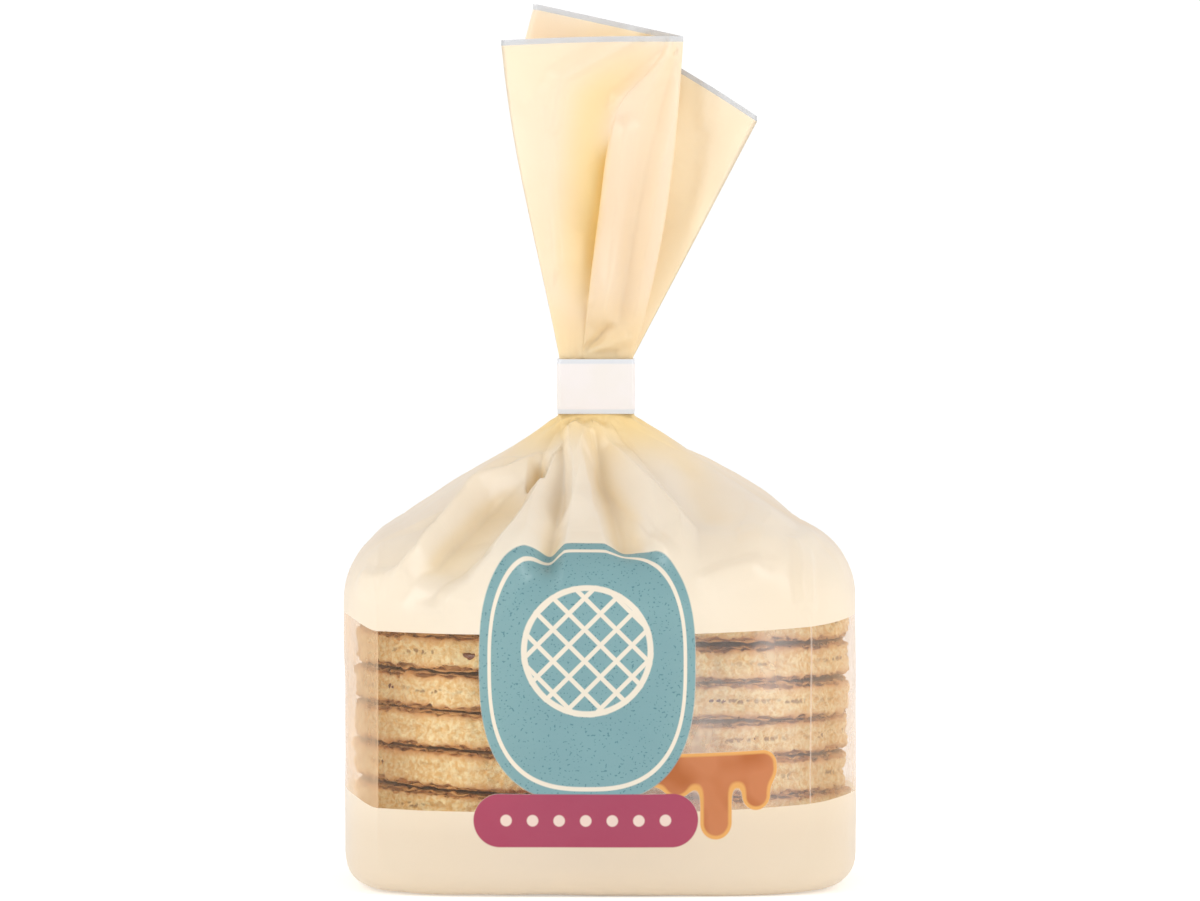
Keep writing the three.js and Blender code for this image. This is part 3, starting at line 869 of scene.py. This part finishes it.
def make_band():
    """A flat strip folded round the neck, its ends lapped at the back."""
    deselect()
    bpy.ops.mesh.primitive_cylinder_add(vertices=160, radius=1, depth=1, end_fill_type="NOTHING")
    piece = bpy.context.active_object
    piece.name = piece.data.name = "neck_strip"
    bpy.ops.object.mode_set(mode="EDIT")
    bpy.ops.mesh.select_all(action="SELECT")
    bpy.ops.mesh.subdivide(number_cuts=1)
    bpy.ops.object.mode_set(mode="OBJECT")
    mesh = bmesh.new()
    mesh.from_mesh(piece.data)
    uprights = [e for e in mesh.edges if abs(e.verts[0].co.z - e.verts[1].co.z) > 0.4]
    bmesh.ops.subdivide_edges(mesh, edges=uprights, cuts=9, use_grid_fill=True)
    mesh.to_mesh(piece.data)
    mesh.free()
    close_seams(piece)
    points = points_of(piece)
    angle = np.arctan2(points[:, 0], -points[:, 1])
    half_width, half_depth = BAND_WIDTH / 2 - 0.02, BAND_DEPTH / 2 - 0.02
    power = STRIP_SQUARENESS
    sine, cosine = np.sin(angle), np.cos(angle)
    reach = (np.abs(sine) ** power + np.abs(cosine) ** power) ** (-1 / power)
    level = points[:, 2] * 2
    margin = smoothstep(np.abs(level), MARGIN_START, MARGIN_END)
    lap = smoothstep(np.abs(angle), 2.86, 2.9) * STRIP_LAP
    inward = 0.12 * margin + STRIP_LAP - lap
    x = sine * reach * (half_width - inward) + NECK_X
    y = -cosine * reach * (half_depth - inward)
    z = (BAND_BOTTOM + BAND_TOP) / 2 + level * (BAND_TOP - BAND_BOTTOM - 0.06) / 2
    place_points(piece, np.stack([x, y, z], axis=1) * MM)
    keep_values(piece, "level", level)
    wall = piece.modifiers.new("wall", "SOLIDIFY")
    wall.thickness = STRIP_THICKNESS * MM
    wall.offset = -1
    edge = piece.modifiers.new("edge", "BEVEL")
    edge.width = 0.08 * MM
    edge.segments = 2
    edge.limit_method = "ANGLE"
    apply_modifiers(piece)
    smooth(piece)
    return piece


# Materials


def new_material(name):
    material = bpy.data.materials.new(name)
    material.use_nodes = True
    tree = material.node_tree
    tree.nodes.clear()
    return material, tree


def node(tree, kind, inputs=None, **settings):
    made = tree.nodes.new(kind)
    for key, value in settings.items():
        setattr(made, key, value)
    for socket, value in (inputs or {}).items():
        if isinstance(value, bpy.types.NodeSocket):
            tree.links.new(value, made.inputs[socket])
        else:
            made.inputs[socket].default_value = value
    return made


def calc(tree, operation, first, second=0.0, third=0.0):
    made = node(tree, "ShaderNodeMath", {0: first, 1: second, 2: third}, operation=operation)
    return made.outputs[0]


def blend_colours(tree, share, first, second):
    sockets = {"Factor": share, 6: first, 7: second}
    return node(tree, "ShaderNodeMix", sockets, data_type="RGBA").outputs[2]


def colour(code):
    """A linear colour from a hexadecimal display colour."""
    parts = [int(code[i : i + 2], 16) / 255 for i in (0, 2, 4)]
    linear = [p / 12.92 if p <= 0.04045 else ((p + 0.055) / 1.055) ** 2.4 for p in parts]
    return (*linear, 1.0)


def attribute(tree, name, output="Fac"):
    return node(tree, "ShaderNodeAttribute", attribute_name=name).outputs[output]


def object_place(tree):
    return node(tree, "ShaderNodeTexCoord").outputs["Object"]


def cloud(tree, place, scale, detail=3.0, roughness=0.5, distortion=0.0):
    made = node(
        tree,
        "ShaderNodeTexNoise",
        {
            "Vector": place,
            "Scale": scale,
            "Detail": detail,
            "Roughness": roughness,
            "Distortion": distortion,
        },
    )
    return made.outputs["Fac"]


def ramp(tree, value, low, high, start=0.0, end=1.0):
    made = node(
        tree,
        "ShaderNodeMapRange",
        {"Value": value, "From Min": low, "From Max": high, "To Min": start, "To Max": end},
    )
    made.clamp = True
    return made.outputs["Result"]


def bump(tree, height, strength, distance):
    sockets = {"Height": height, "Strength": strength, "Distance": distance}
    return node(tree, "ShaderNodeBump", sockets).outputs["Normal"]


def finish_material(tree, shader):
    node(tree, "ShaderNodeOutputMaterial", {"Surface": shader})


CREAM = colour("F6ECDA")
CREAM_SHADE = colour("F0E0C6")
CREAM_MOUTH, CREAM_MOUTH_SHADE = colour("FDF5E7"), colour("F9ECD6")
CREAM_THROUGH, MOUTH_LIGHT = colour("FFF7E4"), colour("FFF3DE")  # light that comes through
# Painted shade: a darker cream for the foot of the film.
CREAM_PAINTED_FOOT_SHADE = colour("E6D7C0")  # round the foot, where the dark inside shows through
# Painted shade and glow: deeper yellows for gathered film and the hollows of its folds, partly the
# layers' own colour.
CREAM_GATHERED_PAINTED_SHADE, MOUTH_GATHERED_PAINTED_SHADE = colour("FFDC88"), colour("FFE89E")  # where the film is gathered
FILM_THROUGH = 0.26  # share of the light that passes through printed film
MOUTH_THROUGH = 0.50  # and through the open mouth's film, which has no dark inside behind it
TEAL = colour("82ABB1")
TEAL_DARK = colour("4F838D")
MAGENTA = colour("AE4763")
CARAMEL = colour("CC8152")
CARAMEL_DEEP = colour("B96A35")
# Painted glare: a lighter caramel for a highlight along the edges of the printed caramel.
CARAMEL_PAINTED_GLARE = colour("E9AE62")


class Print:
    """Shapes printed on the film's front, as masks from the place on the film in mm."""

    def __init__(self, tree):
        self.tree = tree
        self.place = attribute(tree, "print_place", "Vector")
        parts = node(tree, "ShaderNodeSeparateXYZ", {0: self.place})
        self.x, self.up, self.front = parts.outputs

    def rounded_box(self, centre, half, radius):
        """Distance outside a box with round corners, below zero inside."""
        tree = self.tree
        sides = []
        for value, middle, reach in zip((self.x, self.up), centre, half):
            away = calc(tree, "ABSOLUTE", calc(tree, "SUBTRACT", value, middle))
            sides.append(calc(tree, "MAXIMUM", calc(tree, "SUBTRACT", away, reach - radius), 0.0))
        squares = [calc(tree, "MULTIPLY", side, side) for side in sides]
        return calc(tree, "SUBTRACT", calc(tree, "SQRT", calc(tree, "ADD", *squares)), radius)

    def cushion(self, centre, half, power):
        """Above zero outside a superellipse, in about mm."""
        tree = self.tree
        terms = []
        for value, middle, reach in zip((self.x, self.up), centre, half):
            away = calc(tree, "ABSOLUTE", calc(tree, "SUBTRACT", value, middle))
            terms.append(calc(tree, "POWER", calc(tree, "DIVIDE", away, reach), power))
        reach = calc(tree, "POWER", calc(tree, "ADD", *terms), 1 / power)
        return calc(tree, "MULTIPLY", calc(tree, "SUBTRACT", reach, 1.0), min(half))

    def circle(self, centre, radius):
        return self.rounded_box(centre, (radius, radius), radius)

    def mask(self, distance, blur=0.12):
        inside = ramp(self.tree, distance, blur, -blur)
        return calc(self.tree, "MULTIPLY", inside, self.front)

    def lattice(self, pitch, width):
        """1 on the bars of a diamond lattice."""
        tree = self.tree
        bars = []
        for sign in (1, -1):
            slanted = calc(tree, "ADD", self.x, calc(tree, "MULTIPLY", self.up, float(sign)))
            wave = calc(tree, "PINGPONG", slanted, pitch / 2)
            bars.append(ramp(tree, wave, width + 0.12, width - 0.12))
        return calc(tree, "MAXIMUM", *bars)


BADGE_MIDDLE, BADGE_HALF = (-2.6, 45.5), (21.2, 26.6)
DISC_MIDDLE, DISC_RADIUS = (-2.6, 48.5), 13.0
PILL_MIDDLE, PILL_HALF = (-2.9, 15.2), (22.0, 5.2)
DIAMOND_PITCH, DIAMOND_BAR = 6.2, 0.62
DOT_SPACING, DOT_ROW_HALF = 5.2, 17.0
# Caramel that runs from under the badge: middle across, lower end and half-width of each drip.
DRIPS = ((15.0, 19.5, 2.6), (22.6, 11.4, 3.1), (30.6, 16.5, 2.7))
POUR_MIDDLE, POUR_HALF = (19.0, 25.0), (15.6, 3.2)


def printed_colour(tree, base):
    """The print's colours over a base colour, and a mask of where there is ink."""
    shapes = Print(tree)
    pour = shapes.rounded_box(POUR_MIDDLE, POUR_HALF, 2.8)
    for middle, foot, half in DRIPS:
        top = POUR_MIDDLE[1]
        drip = shapes.rounded_box((middle, (top + foot) / 2), (half, (top - foot) / 2), half)
        pour = calc(tree, "SMOOTH_MIN", pour, drip, 4.0)
    caramel = shapes.mask(pour)
    caramel_core = ramp(tree, pour, -0.5, -0.9)
    caramel_tone = cloud(tree, shapes.place, 0.12, 1.0)
    caramel_fill = blend_colours(tree, ramp(tree, caramel_tone, 0.4, 0.6), CARAMEL, CARAMEL_DEEP)
    # The printed caramel's edge band gets a painted glare highlight.
    caramel_ink = blend_colours(tree, caramel_core, CARAMEL_PAINTED_GLARE, caramel_fill)

    badge = shapes.cushion(BADGE_MIDDLE, BADGE_HALF, 2.7)
    badge_mask = shapes.mask(badge)
    speck = ramp(tree, cloud(tree, shapes.place, 2.3, 0.0), 0.70, 0.74)
    speck = calc(tree, "MULTIPLY", speck, 0.75)
    tone = ramp(tree, cloud(tree, shapes.place, 0.06, 2.0), 0.35, 0.65, 0.0, 0.25)
    badge_ink = blend_colours(tree, tone, TEAL, colour("8FB9BC"))
    badge_ink = blend_colours(tree, speck, badge_ink, TEAL_DARK)
    ring = calc(tree, "ABSOLUTE", calc(tree, "ADD", badge, 2.0))
    badge_ink = blend_colours(tree, ramp(tree, ring, 0.42, 0.26), badge_ink, CREAM)
    disc = shapes.circle(DISC_MIDDLE, DISC_RADIUS)
    rim = calc(tree, "ABSOLUTE", calc(tree, "ADD", disc, 0.6))
    diamonds = shapes.lattice(DIAMOND_PITCH, DIAMOND_BAR)
    bars = calc(tree, "MAXIMUM", diamonds, ramp(tree, rim, 0.72, 0.48))
    disc_ink = blend_colours(tree, bars, badge_ink, CREAM)
    badge_ink = blend_colours(tree, ramp(tree, disc, 0.12, -0.12), badge_ink, disc_ink)

    pill = shapes.rounded_box(PILL_MIDDLE, PILL_HALF, PILL_HALF[1])
    pill_mask = shapes.mask(pill)
    along_row = calc(tree, "SUBTRACT", shapes.x, PILL_MIDDLE[0])
    off_dot = calc(tree, "PINGPONG", along_row, DOT_SPACING / 2)
    off_line = calc(tree, "SUBTRACT", shapes.up, PILL_MIDDLE[1])
    squares = [calc(tree, "MULTIPLY", side, side) for side in (off_dot, off_line)]
    dot_reach = calc(tree, "SQRT", calc(tree, "ADD", *squares))
    in_row = ramp(tree, calc(tree, "ABSOLUTE", along_row), DOT_ROW_HALF + 0.3, DOT_ROW_HALF)
    dot_mask = calc(tree, "MULTIPLY", ramp(tree, dot_reach, 1.25, 1.0), in_row)
    pill_ink = blend_colours(tree, dot_mask, MAGENTA, colour("F3DDCF"))

    made = blend_colours(tree, caramel, base, caramel_ink)
    made = blend_colours(tree, badge_mask, made, badge_ink)
    made = blend_colours(tree, pill_mask, made, pill_ink)
    ink = calc(tree, "MAXIMUM", calc(tree, "MAXIMUM", caramel, badge_mask), pill_mask)
    return made, ink


def cream_colour(tree, light=CREAM, dark=CREAM_SHADE, gathered=CREAM_GATHERED_PAINTED_SHADE):
    """The film's cream print, a little uneven, and deeper yellow where the film is gathered: partly the
    layers' own colour, partly painted shade and glow of light through the layers.
    """
    tint = cloud(tree, object_place(tree), 18.0, 2.0)
    cream = blend_colours(tree, ramp(tree, tint, 0.35, 0.65), light, dark)
    return blend_colours(tree, attribute(tree, "gathered_painted_shade"), cream, gathered)


def film_shader(tree, front_colour, through_colour, normal, share_through):
    """Printed film: it shines softly and lets some warm light through."""
    surface = node(
        tree,
        "ShaderNodeBsdfPrincipled",
        {"Base Color": front_colour, "Roughness": 0.28, "Specular IOR Level": 0.5, "Normal": normal},
    ).outputs[0]
    sockets = {"Color": through_colour, "Normal": normal}
    through = node(tree, "ShaderNodeBsdfTranslucent", sockets).outputs[0]
    return node(tree, "ShaderNodeMixShader", {0: share_through, 1: surface, 2: through}).outputs[0]


def film_creases(tree):
    """Fine creases all over the film."""
    place = object_place(tree)
    broad = cloud(tree, place, 90.0, 3.0, 0.55, 0.6)
    fine = cloud(tree, place, 420.0, 2.0, 0.5, 0.3)
    height = calc(tree, "ADD", broad, calc(tree, "MULTIPLY", fine, 0.25))
    return bump(tree, height, 0.35, 0.0006)


def printed_film():
    material, tree = new_material("printed_film")
    base = cream_colour(tree)
    # Painted shade: the colour gets darker towards the foot of the film.
    painted_foot_shade = ramp(tree, Print(tree).up, 20.0, 12.0, 0.0, 0.8)
    base = blend_colours(tree, painted_foot_shade, base, CREAM_PAINTED_FOOT_SHADE)
    front, ink = printed_colour(tree, base)
    through = blend_colours(tree, ink, CREAM_THROUGH, front)
    finish_material(tree, film_shader(tree, front, through, film_creases(tree), FILM_THROUGH))
    return material


def from_middle(tree):
    """How far each place lies to the left or right of the bag's middle, in mm."""
    return calc(tree, "ABSOLUTE", Print(tree).x)


def window_haze(tree):
    """How milky the clear film is: patchy on the right, more so on the left side panel and round
    the corners, and whitest along the creases."""
    shapes = Print(tree)
    place = object_place(tree)
    patches = ramp(tree, cloud(tree, place, 34.0, 4.0, 0.6, 0.8), 0.38, 0.60, 0.25, 1.0)
    to_right = ramp(tree, shapes.x, -5.0, 22.0, 0.05, 0.40)
    front_veil = calc(tree, "MULTIPLY", patches, to_right)
    front_veil = calc(tree, "MULTIPLY", front_veil, ramp(tree, shapes.x, 30.0, 40.0, 1.0, 0.35))
    left_panel = ramp(tree, shapes.x, LEFT_CREASE + 0.15, LEFT_CREASE - 0.15, 0.0, 0.34)
    right_panel = ramp(tree, shapes.x, RIGHT_CREASE - 0.15, RIGHT_CREASE + 0.15, 0.0, 0.04)
    streaks = ramp(tree, cloud(tree, place, 70.0, 3.0, 0.6, 0.8), 0.35, 0.7, 0.75, 1.2)
    panels = calc(tree, "MULTIPLY", calc(tree, "ADD", left_panel, right_panel), streaks)
    round_corner = ramp(tree, from_middle(tree), 45.5, 50.0, 0.03, 0.30)
    round_corner = calc(tree, "MULTIPLY", round_corner, streaks)
    veil = calc(tree, "ADD", calc(tree, "ADD", front_veil, panels), round_corner)
    for crease in (LEFT_CREASE, RIGHT_CREASE):
        beside = calc(tree, "ABSOLUTE", calc(tree, "SUBTRACT", shapes.x, crease))
        line = calc(tree, "MULTIPLY", ramp(tree, beside, 0.30, 0.12, 0.0, 0.5), shapes.front)
        veil = calc(tree, "MAXIMUM", veil, line)
    return veil


def clear_film():
    """The window: clear film with haze and gloss, and the print where it runs over it."""
    material, tree = new_material("clear_film")
    normal = film_creases(tree)
    open_window = node(tree, "ShaderNodeBsdfTransparent", {"Color": (1, 1, 1, 1)}).outputs[0]
    to_right = ramp(tree, Print(tree).x, -30.0, 20.0)
    milk = blend_colours(tree, to_right, colour("E3BE97"), colour("EBDDD4"))
    milk = blend_colours(tree, ramp(tree, from_middle(tree), 38.0, 46.0), milk, colour("E6C6A2"))
    fog = node(tree, "ShaderNodeBsdfDiffuse", {"Color": milk, "Normal": normal}).outputs[0]
    veil = window_haze(tree)
    hazy = node(tree, "ShaderNodeMixShader", {0: veil, 1: open_window, 2: fog}).outputs[0]
    sockets = {"Color": (1, 1, 1, 1), "Roughness": 0.16, "Normal": normal}
    gloss = node(tree, "ShaderNodeBsdfGlossy", sockets).outputs[0]
    facing = node(tree, "ShaderNodeFresnel", {"IOR": 1.45, "Normal": normal}).outputs[0]
    shine = calc(tree, "MULTIPLY", facing, 0.4)
    window = node(tree, "ShaderNodeMixShader", {0: shine, 1: hazy, 2: gloss}).outputs[0]
    front, ink = printed_colour(tree, CREAM)
    inked = film_shader(tree, front, front, normal, FILM_THROUGH)
    shader = node(tree, "ShaderNodeMixShader", {0: ink, 1: window, 2: inked}).outputs[0]
    finish_material(tree, shader)
    return material


def mouth_film():
    material, tree = new_material("mouth_film")
    normal = film_creases(tree)
    front = cream_colour(tree, CREAM_MOUTH, CREAM_MOUTH_SHADE, MOUTH_GATHERED_PAINTED_SHADE)
    finish_material(tree, film_shader(tree, front, MOUTH_LIGHT, normal, MOUTH_THROUGH))
    return material


def clear_rim():
    """Unprinted film along the cut edge of the mouth: milky, so that it shows against white."""
    material, tree = new_material("clear_rim")
    open_part = node(tree, "ShaderNodeBsdfTransparent", {"Color": (1, 1, 1, 1)}).outputs[0]
    milk = node(
        tree,
        "ShaderNodeBsdfPrincipled",
        {"Base Color": colour("CDCED0"), "Roughness": 0.2, "Normal": film_creases(tree)},
    ).outputs[0]
    cloudy = ramp(tree, cloud(tree, object_place(tree), 60.0), 0.35, 0.65, 0.65, 0.85)
    shader = node(tree, "ShaderNodeMixShader", {0: cloudy, 1: open_part, 2: milk}).outputs[0]
    finish_material(tree, shader)
    return material


def baked_waffle():
    """Pale crumb at the cut rim, browner towards both crusts, pitted crust on the faces."""
    material, tree = new_material("baked_waffle")
    place = object_place(tree)
    level = calc(tree, "ABSOLUTE", attribute(tree, "level"))
    rim = attribute(tree, "rim")
    wander = cloud(tree, place, 160.0, 4.0, 0.6)
    crumb_tone = cloud(tree, place, 900.0, 3.0, 0.7)
    crumb = blend_colours(tree, ramp(tree, crumb_tone, 0.36, 0.64), colour("E4B671"), colour("F7E3B2"))
    hole = node(tree, "ShaderNodeTexVoronoi", {"Vector": place, "Scale": 1100.0}).outputs["Distance"]
    crumb = blend_colours(tree, ramp(tree, hole, 0.10, 0.26, 0.4, 0.0), crumb, colour("B9824A"))
    signed = calc(tree, "MULTIPLY", attribute(tree, "level"), 0.07)
    wandering = calc(tree, "MULTIPLY", calc(tree, "SUBTRACT", wander, 0.5), 0.9)
    browning = calc(tree, "ADD", calc(tree, "ADD", level, signed), wandering)
    toasted = blend_colours(tree, ramp(tree, browning, 0.46, 0.92), crumb, colour("D59A5D"))
    crust_mottle = ramp(tree, cloud(tree, place, 300.0, 4.0, 0.65), 0.35, 0.7)
    crust = blend_colours(tree, crust_mottle, colour("B0743F"), colour("D9A668"))
    toasted = blend_colours(tree, ramp(tree, browning, 1.00, 1.14), toasted, crust)
    face = blend_colours(tree, attribute(tree, "pit"), crust, colour("D6A260"))
    tone = blend_colours(tree, rim, face, toasted)
    speck = node(tree, "ShaderNodeTexVoronoi", {"Vector": place, "Scale": 700.0}).outputs["Distance"]
    seam = calc(tree, "MULTIPLY", ramp(tree, level, 0.14, 0.04), ramp(tree, speck, 0.55, 0.38))
    broken = ramp(tree, cloud(tree, place, 75.0, 2.0), 0.48, 0.60, 0.1, 0.75)
    seam = calc(tree, "MULTIPLY", seam, calc(tree, "MULTIPLY", rim, broken))
    tone = blend_colours(tree, seam, tone, colour("7B5230"))
    rough = calc(tree, "ADD", crumb_tone, calc(tree, "MULTIPLY", wander, 0.5))
    shader = node(
        tree,
        "ShaderNodeBsdfPrincipled",
        {
            "Base Color": tone,
            "Roughness": 0.78,
            "Specular IOR Level": 0.3,
            "Normal": bump(tree, rough, 0.55, 0.0006),
        },
    ).outputs[0]
    finish_material(tree, shader)
    return material


def caramel_syrup():
    material, tree = new_material("caramel_syrup")
    tone = ramp(tree, cloud(tree, object_place(tree), 260.0, 3.0), 0.35, 0.65)
    shader = node(
        tree,
        "ShaderNodeBsdfPrincipled",
        {
            "Base Color": blend_colours(tree, tone, colour("4A200B"), colour("7A3D14")),
            "Roughness": 0.22,
            "Coat Weight": 0.4,
        },
    ).outputs[0]
    finish_material(tree, shader)
    return material


def strip_plastic():
    """White laminated strip; its clear margins look a little greyer."""
    material, tree = new_material("strip_plastic")
    level = calc(tree, "ABSOLUTE", attribute(tree, "level"))
    margin = ramp(tree, level, MARGIN_START, MARGIN_END)
    tone = cloud(tree, object_place(tree), 120.0, 2.0)
    white = blend_colours(tree, ramp(tree, tone, 0.35, 0.65), colour("E5DFDE"), colour("E3DDD8"))
    shader = node(
        tree,
        "ShaderNodeBsdfPrincipled",
        {
            "Base Color": blend_colours(tree, margin, white, colour("D3D5D9")),
            "Roughness": 0.3,
            "Normal": bump(tree, tone, 0.15, 0.0003),
        },
    ).outputs[0]
    finish_material(tree, shader)
    return material


# Floor, light and camera


def make_floor():
    deselect()
    bpy.ops.mesh.primitive_plane_add(size=12, location=(0, 0, 0))
    floor = bpy.context.active_object
    floor.name = "floor"
    material, tree = new_material("floor_white")
    matt = node(tree, "ShaderNodeBsdfDiffuse", {"Color": (0.9, 0.9, 0.9, 1)}).outputs[0]
    glow = node(tree, "ShaderNodeEmission", {"Color": (1, 1, 1, 1), "Strength": 0.3}).outputs[0]
    finish_material(tree, node(tree, "ShaderNodeAddShader", {0: matt, 1: glow}).outputs[0])
    floor.data.materials.append(material)


def add_light(name, place, aim, size, power):
    light = bpy.data.lights.new(name, "AREA")
    light.shape = "RECTANGLE"
    light.size, light.size_y = size
    light.energy = power
    lamp = bpy.data.objects.new(name, light)
    bpy.context.scene.collection.objects.link(lamp)
    lamp.location = place
    lamp.rotation_euler = (Vector(aim) - Vector(place)).to_track_quat("-Z", "Y").to_euler()
    return lamp


FRONT_LIGHT, SIDE_LIGHT = 0.44, 1.18  # brightness of the room in front of the bag and beside it
RIGHT_LIGHT = 0.04  # how much brighter the right side is, and the left side darker
TOP_LIGHT = 0.95  # share of it that is left overhead
BEHIND_LIGHT = 1.05  # brightness behind the bag
LAMP_SIZE, LAMP_AIM = (0.6, 0.8), (0, 0, 0.08)  # metres


def light_studio():
    world = bpy.data.worlds.new("studio")
    bpy.context.scene.world = world
    world.use_nodes = True
    tree = world.node_tree
    background = tree.nodes["Background"]
    background.inputs["Color"].default_value = (1.0, 1.0, 1.0, 1.0)
    direction = node(tree, "ShaderNodeTexCoord").outputs["Generated"]
    to_right, behind, upwards = node(tree, "ShaderNodeSeparateXYZ", {0: direction}).outputs
    bright = ramp(tree, calc(tree, "ABSOLUTE", to_right), 0.10, 0.9, FRONT_LIGHT, SIDE_LIGHT)
    bright = calc(tree, "ADD", bright, calc(tree, "MULTIPLY", to_right, RIGHT_LIGHT))
    bright = calc(tree, "MULTIPLY", bright, ramp(tree, upwards, 0.15, 0.9, 1.0, TOP_LIGHT))
    bright = calc(tree, "MAXIMUM", bright, ramp(tree, behind, 0.0, 0.5, 0.0, BEHIND_LIGHT))
    tree.links.new(bright, background.inputs["Strength"])
    add_light("key_right", (1.0, -0.65, 0.55), LAMP_AIM, LAMP_SIZE, 4.8)
    add_light("key_left", (-0.9, -0.8, 0.55), LAMP_AIM, LAMP_SIZE, 5.4)
    bpy.context.scene.view_settings.view_transform = "Standard"


def add_camera():
    camera = bpy.data.cameras.new("camera")
    camera.sensor_width = 36.0
    frame_width = PICTURE_WIDTH / PIXELS_PER_MM * MM
    camera.lens = camera.sensor_width * CAMERA_DISTANCE / frame_width
    camera.clip_start, camera.clip_end = 0.05, 50
    mount = bpy.data.objects.new("camera", camera)
    bpy.context.scene.collection.objects.link(mount)
    back = Vector((0, -math.cos(CAMERA_ELEVATION), math.sin(CAMERA_ELEVATION)))
    mount.location = CAMERA_AIM + back * CAMERA_DISTANCE
    mount.rotation_euler = (-back).to_track_quat("-Z", "Y").to_euler()
    bpy.context.scene.camera = mount


def dress(piece, materials, slot, *replaced):
    for material in materials:
        piece.data.materials.append(material)
    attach(piece, "root")
    if replaced:
        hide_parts(*replaced)


def main():
    printed, window = printed_film(), clear_film()
    mouth, rim = mouth_film(), clear_rim()
    waffle, syrup = baked_waffle(), caramel_syrup()
    dress(make_film_body(), [printed, window], "bag_film", "bag")
    dress(make_film_mouth(), [mouth, rim], "bag_film", "bag")
    dress(make_band(), [strip_plastic()], "neck_band", "neck_band")
    chance = np.random.default_rng(SEED)
    for number in range(len(WAFFLE_LEVELS) - 1):
        piece, middle, centre, radius, tilt = make_waffle(number, chance)
        dress(piece, [waffle], "waffle", "bag")
        layer = make_syrup(number, middle, centre, radius, tilt)
        dress(layer, [syrup], "syrup", "bag")
    make_floor()
    light_studio()
    add_camera()


main()
